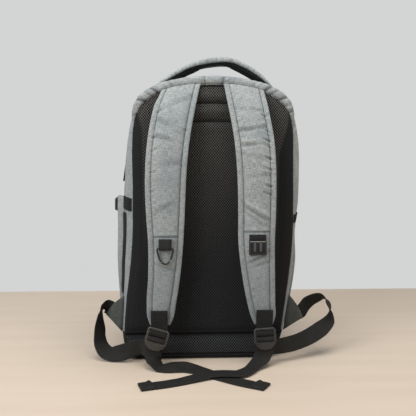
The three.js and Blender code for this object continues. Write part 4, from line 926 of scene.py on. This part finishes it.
# %% The padded mesh back
def padded_face(node, step, welts, show_mesh):
    """A closed skin over a flat-backed padded panel, with its edge and show values."""
    low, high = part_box(node)
    solid = tree_of(node)
    rows = np.arange(low.z + 0.15 * MM, high.z - 0.1 * MM, step)
    ends = np.array([0.0, 0.25, 0.7, 1.4, 2.4, 3.8, 5.5, 7.5, 10]) * MM
    middle = 96
    grid = np.zeros((len(rows), 2 * len(ends) + middle, 3))
    for i, height in enumerate(rows):
        x_low, x_high = slice_of(node, height)[:2]
        squeeze = min(1, (x_high - x_low) / 2 / 0.012)
        across = np.concatenate([
            x_low + ends * squeeze,
            np.linspace(x_low + 10.5 * MM * squeeze, x_high - 10.5 * MM * squeeze, middle),
            x_high - ends[::-1] * squeeze,
        ])
        for j, x in enumerate(np.clip(across, x_low + 0.02 * MM, x_high - 0.02 * MM)):
            hit = solid.ray_cast(Vector((x, -0.3, height)), Vector((0, 1, 0)))[0]
            grid[i, j] = (x, hit.y if hit is not None else high.y - 1 * MM, height)
    border = np.concatenate([grid[:, 0], grid[:, -1], grid[-1], grid[0]])[:, [0, 2]]
    flat = grid[..., [0, 2]].reshape(-1, 2)
    edge = np.empty(len(flat))
    for start in range(0, len(flat), 4000):
        part = flat[start:start + 4000]
        edge[start:start + 4000] = np.linalg.norm(part[:, None] - border[None], axis=2).min(axis=1)
    edge = edge.reshape(grid.shape[:2])
    grid[..., 1] = smoothed(smoothed(grid[..., 1], 1.6, 0), 1.3, 1)
    x, z = grid[..., 0], grid[..., 2]
    soft = 0.5 * MM * cloud(grid * (1, 0, 1), 22, 9) * smoothstep(edge / 0.012)
    binding = -0.9 * MM * bell(edge - 6.2 * MM, 0.0011) + 0.5 * MM * bell(edge - 3 * MM, 0.0022)
    grid[..., 1] -= soft + binding
    fold_shade = np.zeros(edge.shape)
    for height, half, deep, wide, bend in welts:
        at = height * MM + bend * MM * (x / 0.05) ** 2
        reach = 1 - smoothstep((np.abs(x) - half * MM) / 0.012)
        grid[..., 1] += deep * MM * reach * bell(z - at, wide * MM)
        # Painted shade along each sewn channel, for the mesh's colour.
        fold_shade = np.maximum(fold_shade, min(max(0.26 * deep, 0), 0.9) * reach * bell(z - at, 0.75 * wide * MM))
    grid[..., 1] = np.minimum(grid[..., 1], high.y - 0.8 * MM)
    back = grid[:, ::12] * (1, 0, 1) + (0, high.y, 0)
    side_low = grid[:, :1] * (1, 0, 1) + (0, high.y, 0)
    side_high = grid[:, -1:] * (1, 0, 1) + (0, high.y, 0)
    section = np.concatenate([side_low, grid, side_high, back[:, -2:0:-1], side_low], axis=1)
    wrap = section.shape[1] - grid.shape[1]
    edges = np.pad(edge, ((0, 0), (1, wrap - 1)))
    shows = np.pad(show_mesh(x, z), ((0, 0), (1, wrap - 1)))
    return section, {"edge": edges, "show": shows, "fold_shade": np.pad(fold_shade, ((0, 0), (1, wrap - 1)))}


def mesh_on_back(x, z):
    """Mesh shows in the middle; at the sides, wider on the left, its pattern is painted out as painted shade."""
    left_band = smoothstep((z - 0.135) / 0.05) * (1 - smoothstep((z - 0.35) / 0.055))
    left = smoothstep((x + 0.122 - 0.012 * left_band) / 0.003)
    right_band = smoothstep((z - 0.06) / 0.05) * (1 - smoothstep((z - 0.31) / 0.07))
    right = smoothstep((0.118 - 0.016 * right_band - x) / 0.003)
    return left * right


BACK_WELTS = [(399, 64, 3.6, 1.7, -2.0), (371, 64, 3.6, 1.7, -2.0), (408, 70, -1.0, 4.0, -2.0),
              (385, 70, -1.6, 7.0, -2.0), (361, 70, -1.2, 5.0, -2.0)]
section, values = padded_face("back_panel", 2.0 * MM, BACK_WELTS, mesh_on_back)
back_skin = skin("back_mesh", section, back_mesh, values=values)
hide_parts("back_panel")
section, values = padded_face("lower_band", 1.2 * MM, [(9, 140, 1.6, 1.1, 0)],
                              lambda x, z: smoothstep((z - 0.0095) / 0.002))
band_skin = skin("lower_mesh", section, band_mesh, values=values)
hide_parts("lower_band")
print("mesh back", len(back_skin.data.polygons), "faces")

# %% [markdown]
# ## Bands and pads from their sections
# Straps are made of equal sections along a line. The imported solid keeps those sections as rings
# of corners, and finding them again gives the strap's own line, width and turn, so webbing can
# be given rounded edges and a weave that follows it, and a pad its sewn edge.


# %% Sections of a strap
def rings_of(node, count):
    """The solid's sections in order, each with its corners in the same order."""
    bm = merged(node)
    bm.normal_update()
    bm.verts.ensure_lookup_table()
    seen = set()
    for face in bm.faces:
        if face in seen:
            continue
        group, queue = {face}, [face]
        while queue:
            for edge in queue.pop().edges:
                for other in edge.link_faces:
                    if other not in group and other.normal.angle(face.normal) < 0.02:
                        group.add(other)
                        queue.append(other)
        seen |= group
        cap = {v for f in group for v in f.verts}
        if len(cap) != count or len(group) != count - 2:
            continue
        layers, used = [cap], set(cap)
        while True:
            after = {e.other_vert(v) for v in layers[-1] for e in v.link_edges} - used
            if not after:
                break
            layers.append(after)
            used |= after
        if all(len(layer) == count for layer in layers) and len(used) == len(bm.verts):
            break
    else:
        raise RuntimeError(node + ": no sections found")
    rim = {e for v in cap for e in v.link_edges if e.other_vert(v) in cap}
    rim = [e for e in rim if sum(f in group for f in e.link_faces) == 1]
    ring = [rim[0].verts[0]]
    while len(ring) < count:
        ways = [e.other_vert(ring[-1]) for e in rim if ring[-1] in e.verts]
        ring.append(next(v for v in ways if v not in ring))
    rings = [np.array([v.co for v in ring])]
    for layer in layers[1:]:
        loop = [next(iter(layer))]
        while len(loop) < count:
            walls = [e for e in loop[-1].link_edges if any(not layer.issuperset(f.verts) for f in e.link_faces)]
            near = [e.other_vert(loop[-1]) for e in walls]
            loop.append(next(v for v in near if v in layer and v not in loop))
        places_here = np.array([v.co for v in loop])
        tries = [np.roll(way, k, axis=0) for way in (places_here, places_here[::-1]) for k in range(count)]
        rings.append(min(tries, key=lambda t: np.linalg.norm(t - rings[-1], axis=1).sum()))
    bm.free()
    return np.array(rings)


def respaced(rings, step):
    """Sections at even spaces along the strap, on a smooth line through the given ones."""
    centres = rings.mean(axis=1)
    along = np.concatenate([[0], np.cumsum(np.linalg.norm(np.diff(centres, axis=0), axis=1))])
    at = np.linspace(0, along[-1], max(int(along[-1] / step), 2) + 1)
    at = np.unique(np.concatenate([at, along]))
    slopes = np.gradient(rings, along, axis=0)
    i = np.clip(np.searchsorted(along, at, side="right") - 1, 0, len(along) - 2)
    span = along[i + 1] - along[i]
    t = ((at - along[i]) / span)[:, None, None]
    span = span[:, None, None]
    smooth_line = (2 * t**3 - 3 * t**2 + 1) * rings[i] + (t**3 - 2 * t**2 + t) * span * slopes[i]
    smooth_line += (3 * t**2 - 2 * t**3) * rings[i + 1] + (t**3 - t**2) * span * slopes[i + 1]
    return smooth_line, at


BAND_PROFILE = [
    (-1, -0.25), (-1, 0.25), (-0.985, 0.7), (-0.95, 0.97), (-0.8, 1), (-0.4, 1), (0, 1), (0.4, 1), (0.8, 1),
    (0.95, 0.97), (0.985, 0.7), (1, 0.25), (1, -0.25), (0.985, -0.7), (0.95, -0.97), (0.8, -1), (0.4, -1),
    (0, -1), (-0.4, -1), (-0.8, -1), (-0.95, -0.97), (-0.985, -0.7), (-1, -0.25),
]


def band(node, name, material, step=3 * MM):
    """Webbing on a band's own sections, with rounded edges and a map that follows it."""
    rings, at = respaced(rings_of(node, 4), step)
    if np.linalg.norm(rings[0, 0] - rings[0, 1]) < np.linalg.norm(rings[0, 1] - rings[0, 2]):
        rings = np.roll(rings, 1, axis=1)
    centre = rings.mean(axis=1)
    half_wide = (rings[:, 0] + rings[:, 3] - rings[:, 1] - rings[:, 2]) / 4
    half_thick = (rings[:, 0] + rings[:, 1] - rings[:, 2] - rings[:, 3]) / 4
    profile = np.array(BAND_PROFILE)
    points = centre[:, None] + profile[None, :, :1] * half_wide[:, None] + profile[None, :, 1:] * half_thick[:, None]
    wide = np.linalg.norm(half_wide, axis=1)[:, None] * profile[None, :, 0]
    uv = np.stack([wide, np.broadcast_to(at[:, None], wide.shape)], axis=2)
    piece = skin(name, points, material, uv=uv)
    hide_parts(node)
    return centre, half_wide, half_thick


def sewn_box(name, centre, half_wide, half_thick, first, last, side):
    """Stitches round a box on a stretch of webbing, with a cross in it."""
    keep = slice(first, last)
    c, w, t = centre[keep], half_wide[keep], half_thick[keep] * side
    out = t / np.linalg.norm(t, axis=1, keepdims=True)
    share = np.linspace(-0.8, 0.8, len(c))[:, None]
    top = c + t * 1.05
    lines = [(top - w * 0.8, out), (top + w * 0.8, out), (top + w * share, out), (top - w * share, out)]
    for k in (0, -1):
        span = np.linspace(-0.8, 0.8, 12)[:, None]
        lines.append((top[k] + span * w[k], np.repeat(out[k:k + 1] if k == 0 else out[-1:], 12, axis=0)))
    return stitches(name, lines, black_thread, 2.6 * MM, 1.9 * MM, 0.22 * MM)


straps = {
    "left_webbing": webbing, "right_webbing": webbing,
    "left_buckle_loop": dark_webbing, "right_buckle_loop": dark_webbing,
}
band_lines = {}
for node_name, material in straps.items():
    band_lines[node_name] = band(node_name, node_name + "_woven", material)
    print(node_name, "sections:", len(band_lines[node_name][0]))

# Box stitches where the loops are sewn on the pads, and hem stitches at the straps' free ends.
for side in ("left", "right"):
    centre, half_wide, half_thick = band_lines[side + "_buckle_loop"]
    above = centre[:, 2] > 0.066
    facing = np.where(above & (centre[:, 1] < np.median(centre[above, 1]) + 1 * MM))[0]
    front = -1 if half_thick[facing, 1].mean() > 0 else 1
    sewn_box(side + "_box_stitches", centre, half_wide, half_thick, facing[0], facing[-1] + 1, front)
    centre, half_wide, half_thick = band_lines[side + "_webbing"]
    tail = len(centre) - 9 if centre[-1, 2] < centre[0, 2] else 3
    upper = 1 if half_thick[tail:tail + 5, 2].mean() > 0 else -1
    sewn_box(side + "_hem_stitches", centre, half_wide, half_thick, tail, tail + 6, upper)

# %% [markdown]
# ## The shoulder pads
# Each pad is foam between two cloths, sewn about 8 mm inside its edge: a thin flat flange, a
# groove where the stitch line pulls it down, and a crowned middle. Across it runs one welt. The
# sewn edge of the right pad is gathered on its outer side, and both have soft slanting folds.

# %% The shoulder pads
SEW_LINE = 8.5
EDGE_STEPS = np.array([0, 0.35, 0.9, 1.8, 3, 4.4, 5.8, 7, 7.9, 8.5, 9.1, 10, 11.4]) * MM


def pad(node, name, welt_z, creases, folds, seed):
    """A sewn and padded skin over a shoulder pad, with its welt, creases and slanting folds."""
    rings = rings_of(node, 14)
    if rings[0, :, 2].mean() < rings[-1, :, 2].mean():
        rings = rings[::-1]
    rings, at = respaced(rings, 1.6 * MM)
    centre = rings.mean(axis=1)
    low_x, high_x = rings[..., 0].min(axis=1), rings[..., 0].max(axis=1)
    spread = np.abs(rings[0, :, 0] - centre[0, 0])
    a, b = np.argsort(spread)[:2]
    up = rings[:, a] - rings[:, b]
    if up[len(up) // 2, 1] > 0:
        up = -up
    half = np.linalg.norm(up, axis=1) / 2
    up /= np.linalg.norm(up, axis=1, keepdims=True)
    half = smoothed(half, 4)
    wide = (high_x - low_x) / 2
    count = len(at)
    share = np.linspace(0, 1, 8)[1:]
    front = np.zeros((count, 2 * (len(EDGE_STEPS) + len(share)) - 1, 3))
    edge = np.zeros(front.shape[:2])
    height = np.zeros(front.shape[:2])
    for i in range(count):
        d = EDGE_STEPS * min(1, wide[i] / 0.016)
        d = np.concatenate([d, d[-1] + (wide[i] - d[-1]) * share])
        edge[i] = np.concatenate([d, d[-2::-1]])
        x = np.concatenate([-(wide[i] - d), (wide[i] - d)[-2::-1]])
        front[i] = centre[i] + x[:, None] * (1, 0, 0)
        crown = np.clip((edge[i] - SEW_LINE * MM) / max(wide[i] - SEW_LINE * MM, 1e-4), 0, 1)
        crowned = (1 - (1 - crown) ** 2.6) ** 0.62
        flange = min(1.5 * MM, half[i] * 0.8)
        rounded = np.sqrt(np.clip(edge[i] / 0.0012, 0, 1))
        swell = 0.55 * MM * bell(edge[i] - 4 * MM, 0.0026)
        groove = -0.75 * MM * bell(edge[i] - SEW_LINE * MM, 0.0011)
        height[i] = flange * rounded + swell + groove + (half[i] * 1.02 - flange) * crowned
    z = front[..., 2]
    side = np.sign(front[..., 0] - centre[:, None, 0])
    inside = smoothstep((edge - 0.0075) / 0.002)
    fold_shade = np.zeros(edge.shape)
    back_height = height.copy()
    soft = 0.45 * MM * cloud(front * (1, 0, 1), 45, seed) + 0.3 * MM * cloud(front * (1, 0, 1), 110, seed + 1)
    height += soft * smoothstep(edge / 0.004)
    height += inside * (1.0 * MM * bell(z - (welt_z + 2.6) * MM, 0.0022) - 1.5 * MM * bell(z - welt_z * MM, 0.0011))
    # Painted shade in the welt, and below in the creases and folds.
    fold_shade = np.maximum(fold_shade, inside * 0.75 * bell(z - welt_z * MM, 0.0008))
    for crease_z, crease_side, deep in creases:
        run = edge - SEW_LINE * MM
        line_z = crease_z * MM + 0.35 * run
        fade = smoothstep((edge - 0.005) / 0.003) * (1 - smoothstep((run - 0.002) / 0.011))
        here = (side == crease_side) * fade
        height -= here * 1.9 * deep * MM * bell(z - line_z, 0.0015)
        height += here * 0.8 * deep * MM * (bell(z - line_z - 3.4 * MM, 0.0022) + bell(z - line_z + 3.4 * MM, 0.0022))
        fold_shade = np.maximum(fold_shade, here * 0.5 * deep * bell(z - line_z, 0.0011))
    # The folds come and go across the pad, and wander a little.
    patchy = inside * (0.3 + 0.9 * smoothstep(0.5 + 1.4 * cloud(front * (1, 0, 1), 28, seed + 2)))
    wander = 2.2 * MM * cloud(front * (1, 0, 1), 40, seed + 3)
    for fold_z, slope, deep, fold_wide in folds:
        line_z = fold_z * MM + slope * (front[..., 0] - centre[:, None, 0]) + wander
        height -= patchy * 1.5 * deep * MM * bell(z - line_z, fold_wide * MM)
        height += patchy * 1.1 * deep * MM * bell(z - line_z - 2.2 * fold_wide * MM, 1.3 * fold_wide * MM)
        fold_shade = np.maximum(fold_shade, patchy * 0.17 * deep * bell(z - line_z, 0.6 * fold_wide * MM))
    face = front + up[:, None] * height[..., None]
    under = front - up[:, None] * back_height[..., None]
    section = np.concatenate([face, under[:, -2:0:-1], face[:, :1]], axis=1)
    # The upper end is cut to the crown's curve, so that it is sewn in under the rolled edge.
    crown_order = np.argsort(roll_line[:, 0])
    seam_height = np.interp(section[..., 0], roll_line[crown_order, 0], roll_line[crown_order, 2])
    top_z = section[0, :, 2].max()
    near_top = 1 - smoothstep((top_z - section[..., 2]) / 0.035)
    section[..., 2] += (seam_height - 0.5 * MM - top_z) * near_top
    wrap = section.shape[1] - face.shape[1]
    back_edge = edge[:, -2:0:-1]
    edges = np.concatenate([edge, back_edge, edge[:, :1]], axis=1)
    fold_shade_shown = np.pad(fold_shade, ((0, 0), (0, wrap)))
    across = section[..., 0]
    uv = np.stack([across, np.broadcast_to(-at[:, None], across.shape)], axis=2)
    uv[:, face.shape[1]:-1, 0] += 0.31
    piece = skin(name, section, pad_cloth, uv=uv, values={"edge": edges, "fold_shade": fold_shade_shown})
    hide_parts(node)
    out = np.repeat(up[:, None], face.shape[1], axis=1)
    sewn = int(np.argmin(np.abs(EDGE_STEPS - SEW_LINE * MM)))
    lines = [(face[3:-3, sewn] + out[3:-3, sewn] * 0.1 * MM, out[3:-3, sewn]),
             (face[3:-3, -1 - sewn] + out[3:-3, -1 - sewn] * 0.1 * MM, out[3:-3, -1 - sewn])]
    stitches(name + "_stitches", lines, grey_thread, 3.4 * MM, 2.4 * MM, 0.3 * MM)


RIGHT_CREASES = [(375, 1, 1.1), (352, 1, 0.9), (337, 1, 1.2), (328, 1, 0.8), (311, 1, 1.2), (295, 1, 1.0),
                 (270, 1, 1.2), (258, 1, 0.9), (365, -1, 0.5), (318, -1, 0.5)]
LEFT_CREASES = [(380, -1, 0.8), (342, -1, 0.7), (322, -1, 0.6), (290, -1, 0.7), (262, -1, 0.7),
                (352, 1, 0.6), (300, 1, 0.6)]
# Each fold: its height, slope across, depth and half width, in millimetres.
LEFT_FOLDS = [(392, 0.35, 0.8, 3.5), (356, -0.5, 1.0, 3.5), (336, -0.3, 0.8, 3),
              (300, 0.25, 0.7, 4), (238, 0.5, 0.7, 4), (150, -0.4, 0.8, 3)]
RIGHT_FOLDS = [(383, -0.1, 0.7, 3), (354, 0.15, 1.3, 2.6), (331, 0.08, 1.2, 2.4),
               (312, -0.15, 0.8, 2.6), (284, 0.1, 0.7, 3), (229, -0.6, 1.5, 3),
               (219, -0.75, 0.9, 2.4), (163, 0.6, 1.4, 3), (152, 0.3, 0.7, 2.6)]
pad("left_pad", "left_pad_cloth", 196, LEFT_CREASES, LEFT_FOLDS, 21)
pad("right_pad", "right_pad_cloth", 203, RIGHT_CREASES, RIGHT_FOLDS, 31)

# %% [markdown]
# ## Buckles, ring and keeper
# These are hard and keep their exact form. A small round on every edge is what makes moulded
# plastic read as plastic. The ring is one bent wire, so it is smoothed instead.

# %% Buckles, ring and keeper
moulded("left_buckle", "left_lock", left_lock_plastic, 0.6 * MM)
moulded("right_buckle", "right_lock", right_lock_plastic, 0.6 * MM)
moulded("left_release", "left_release_buckle", dark_plastic, 1.2 * MM)
moulded("keeper", "keeper_frame", dark_plastic, 0.5 * MM)
moulded("left_pull", "left_zip_pull", tongue_plastic, 0.8 * MM)
moulded("right_pull", "right_zip_pull", tongue_plastic, 0.8 * MM)
dressed("ring", "ring_wire", ring_paint, 2, body="ring", sharp=100)
dressed("ring_loop", "ring_tab", black, 2)
moulded("keeper_tab", "keeper_webbing", black, 0.5 * MM)


def bar(name, low, high, radius, material):
    """A small rounded bar between two corners."""
    bm = bmesh.new()
    bmesh.ops.create_cube(bm, size=1)
    low, high = Vector(low), Vector(high)
    for vert in bm.verts:
        vert.co = [low[k] + (vert.co[k] + 0.5) * (high[k] - low[k]) for k in range(3)]
    bmesh.ops.bevel(bm, geom=bm.edges[:], offset=radius, segments=3, profile=0.5, affect="EDGES",
                    material=-1)
    return add_piece(bm, name, material)


keeper_low, keeper_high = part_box("keeper")
print("keeper", [round(c, 4) for c in (*keeper_low, *keeper_high)])
face_y = keeper_low.y
deep = keeper_high.y - keeper_low.y
high_z, wide_x = keeper_high.z - keeper_low.z, keeper_high.x - keeper_low.x
bar("keeper_strap", (keeper_low.x + 2.4 * MM, face_y - 0.3 * MM, keeper_low.z + 2.6 * MM),
    (keeper_high.x - 2.4 * MM, face_y + 0.8 * deep, keeper_high.z - 2.6 * MM), 0.25 * MM, black)
# Two ribs on the keeper, coloured with their painted reflection.
for index, share in enumerate((0.26, 0.6)):
    bar(f"keeper_rib_{index + 1}", (keeper_low.x + share * wide_x, face_y - 0.9 * MM, keeper_low.z + 0.26 * high_z),
        (keeper_low.x + (share + 0.13) * wide_x, face_y + 0.4 * deep, keeper_low.z + 0.86 * high_z),
        0.7 * MM, rib_glint_plastic)
# The lip's light beige is a painted highlight on the keeper's top edge.
bar("keeper_lip", (keeper_low.x + 1.5 * MM, face_y - 0.7 * MM, keeper_high.z - 1.7 * MM),
    (keeper_high.x - 1.5 * MM, face_y + 0.4 * deep, keeper_high.z - 0.3 * MM), 0.45 * MM, lit_rim_plastic)

# %% [markdown]
# ## Side pieces
# Pockets, zips, flat side straps and the wings lie on the body's cloth, so they sway with it: the
# same push moves them all, and nothing sinks in. Zip coils and stitches follow the moved cloth.

# %% Side pieces
dressed("left_pocket", "left_pocket_cloth", body_cloth, 2, body_push)
dressed("right_pocket", "right_pocket_cloth", body_cloth, 2, body_push)
dressed("main_zip", "main_zip_tape", black, 2, body_push)
dressed("side_zip", "side_zip_tape", black, 2, body_push)


def line_along(node, depth, first, last, lift):
    """A line along the bag's outline at a depth, where it crosses a solid, and its outward ways."""
    solid = tree_of(node)
    points, normals = [], []
    for along in np.linspace(first, last, 500):
        start, out = ray_frame(depth, along)
        hit = solid.ray_cast(start, -out)[0]
        if hit is not None:
            points.append(hit + out * lift)
            normals.append(out)
    points, normals = np.array(points), np.array(normals)
    return points + normals * sag(points)[:, None], normals


def line_across(node, height, side, first, last, lift):
    """A line across one side of the bag at a height, on a solid."""
    solid = tree_of(node)
    points = []
    for depth in np.linspace(first, last, 60):
        hit = solid.ray_cast(Vector((side * 0.4, depth, height)), Vector((-side, 0, 0)))[0]
        if hit is not None:
            points.append((hit.x + side * lift, hit.y, hit.z))
    points = np.array(points)
    normals = np.repeat([[float(side), 0.0, 0.0]], len(points), axis=0)
    return points + normals * sag(points)[:, None], normals


zip_low, zip_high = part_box("main_zip")
zip_middle = (zip_low.y + zip_high.y) / 2
tube("main_zip_coil", line_along("main_zip", zip_middle, -2, 2, 0.1 * MM)[0][::2], 1.5 * MM, dark_plastic)
main_lines = [line_along("main_zip", zip_middle + shift * MM, -2, 2, 0.3 * MM) for shift in (-4.6, 4.6)]
stitches("main_zip_stitches", main_lines, black_thread, 3.6 * MM, 2.4 * MM, 0.28 * MM)
side_low, side_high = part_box("side_zip")
side_middle = (side_low.y + side_high.y) / 2
tube("side_zip_coil", line_along("side_zip", side_middle, -2, -1, 0.1 * MM)[0][::2], 1.5 * MM, dark_plastic)
hems = []
for node_name, side, first in (("left_pocket", -1, -0.026), ("right_pocket", 1, -0.05)):
    for down in (8, 22):
        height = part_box(node_name)[1].z - down * MM
        hems.append(line_across(node_name, height, side, first, 0.054, 0.3 * MM))
hems = [hem for hem in hems if len(hem[0]) > 5]
stitches("pocket_hem_stitches", hems, grey_thread, 3.4 * MM, 2.4 * MM, 0.3 * MM)
for node_name in ("left_compression_strap", "right_compression_strap", "left_front_strap"):
    dressed(node_name, node_name + "_woven", side_webbing, 2, body_push)
# The wings' cloth is a shaded copy of the grey melange: painted shade.
dressed("left_wing", "left_wing_cloth", shaded_wing_cloth, 2, body_push, sharp=20)
dressed("right_wing", "right_wing_cloth", shaded_wing_cloth, 2, body_push, sharp=20)

# %% [markdown]
# ## The handle
# The handle is a padded band whose grey cloth wraps round its edges, with a dark lining showing
# only underneath. Each section is drawn on the solid's own sections, rounded, with soft wrinkles
# that gather towards its sewn ends.

# %% The handle
outer_rings, at = respaced(rings_of("handle", 6), 1.8 * MM)
lining_rings, _ = respaced(rings_of("handle_lining", 6), 1.8 * MM)
cloth_share, lining_share = np.linspace(0, 1, len(outer_rings)), np.linspace(0, 1, len(lining_rings))
lining_rings = np.stack([
    np.stack([np.interp(cloth_share, lining_share, lining_rings[:, j, k]) for k in range(3)], axis=1)
    for j in range(6)], axis=1)


def middles(rings, outward):
    """The middle of a section's upper or lower face."""
    heights = rings[..., 2] - rings[..., 2].mean(axis=1, keepdims=True)
    order = np.argsort(heights, axis=1)
    chosen = order[:, -2:] if outward else order[:, :2]
    return np.take_along_axis(rings, chosen[..., None], axis=1).mean(axis=1)


top_line, foot_line = middles(outer_rings, True), middles(lining_rings, False)
up = top_line - foot_line
tall = smoothed(np.linalg.norm(up, axis=1), 4)
up = smoothed(up / np.linalg.norm(up, axis=1, keepdims=True), 4)
half_wide = (outer_rings[..., 1].max(axis=1) - outer_rings[..., 1].min(axis=1)) / 2
mid_y = (outer_rings[..., 1].max(axis=1) + outer_rings[..., 1].min(axis=1)) / 2
HANDLE_PROFILE = np.array([
    (-0.7, 0.16), (-0.84, 0.1), (-0.95, 0.14), (-1.0, 0.3), (-1.0, 0.48), (-0.965, 0.66), (-0.9, 0.8), (-0.8, 0.9),
    (-0.72, 0.93), (-0.68, 0.915), (-0.6, 0.97), (-0.4, 1.0), (-0.2, 1.01), (0, 1.015), (0.2, 1.01), (0.4, 1.0), (0.6, 0.97),
    (0.68, 0.915), (0.72, 0.93), (0.8, 0.9), (0.9, 0.8), (0.965, 0.66), (1.0, 0.48), (1.0, 0.3), (0.95, 0.14),
    (0.84, 0.1), (0.7, 0.16), (0.0, 0.16), (-0.7, 0.16),
])
LINING_PROFILE = np.array([
    (-0.8, 0.12), (-0.78, 0.02), (-0.5, -0.01), (0, -0.02), (0.5, -0.01), (0.78, 0.02), (0.8, 0.12), (0, 0.2), (-0.8, 0.12),
])


share_along = np.linspace(-1, 1, len(outer_rings))
near_middle = bell(share_along, 0.3)
on_slopes = smoothstep((np.abs(share_along) - 0.12) / 0.25) * (1 - smoothstep((np.abs(share_along) - 0.72) / 0.22))


def handle_points(profile):
    """Sections of the handle: the cloth's edges come lower in the middle, the lining on the slopes."""
    across = profile[None, :, 0] * half_wide[:, None]
    rise_by = profile[None, :, 1] * tall[:, None]
    if profile is LINING_PROFILE:
        rise_by = rise_by - 3.6 * MM * on_slopes[:, None] * (profile[None, :, 1] < 0.1)
    else:
        rim = (np.abs(profile[None, :, 0]) > 0.83) & (profile[None, :, 1] < 0.4)
        rise_by = rise_by - 2.6 * MM * near_middle[:, None] * rim
    points = foot_line[:, None] + up[:, None] * rise_by[..., None]
    points[..., 1] = mid_y[:, None] + across
    return points, across


points, across = handle_points(HANDLE_PROFILE)
ends = np.linspace(-1, 1, len(points))[:, None]
gather = 0.35 + 0.65 * np.abs(ends) ** 2
wrinkle = cloud(points * (1.0, 0.35, 1.0), 95, 51) * 0.55 * MM * gather + cloud(points, 220, 52) * 0.18 * MM
points += up[:, None] * (wrinkle * (HANDLE_PROFILE[None, :, 1] > 0.25))[..., None]
points[:, -1] = points[:, 0]
edge = np.broadcast_to(np.abs((1 - np.abs(HANDLE_PROFILE[None, :, 0])) * half_wide[:, None]), across.shape)
uv = np.stack([across, np.broadcast_to(at[:, None], across.shape)], axis=2)
# The handle's wrinkle valleys are given painted shade.
handle_skin = skin("handle_cloth", points, handle_cloth, uv=uv,
                   values={"edge": edge, "fold_shade": np.clip(-wrinkle / MM * 0.35, 0, 0.4)})
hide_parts("handle")
points, across = handle_points(LINING_PROFILE)
points[:, -1] = points[:, 0]
lining_skin = skin("handle_lining_cloth", points, lining_black)
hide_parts("handle_lining")
print("handle", len(handle_skin.data.polygons), "faces")
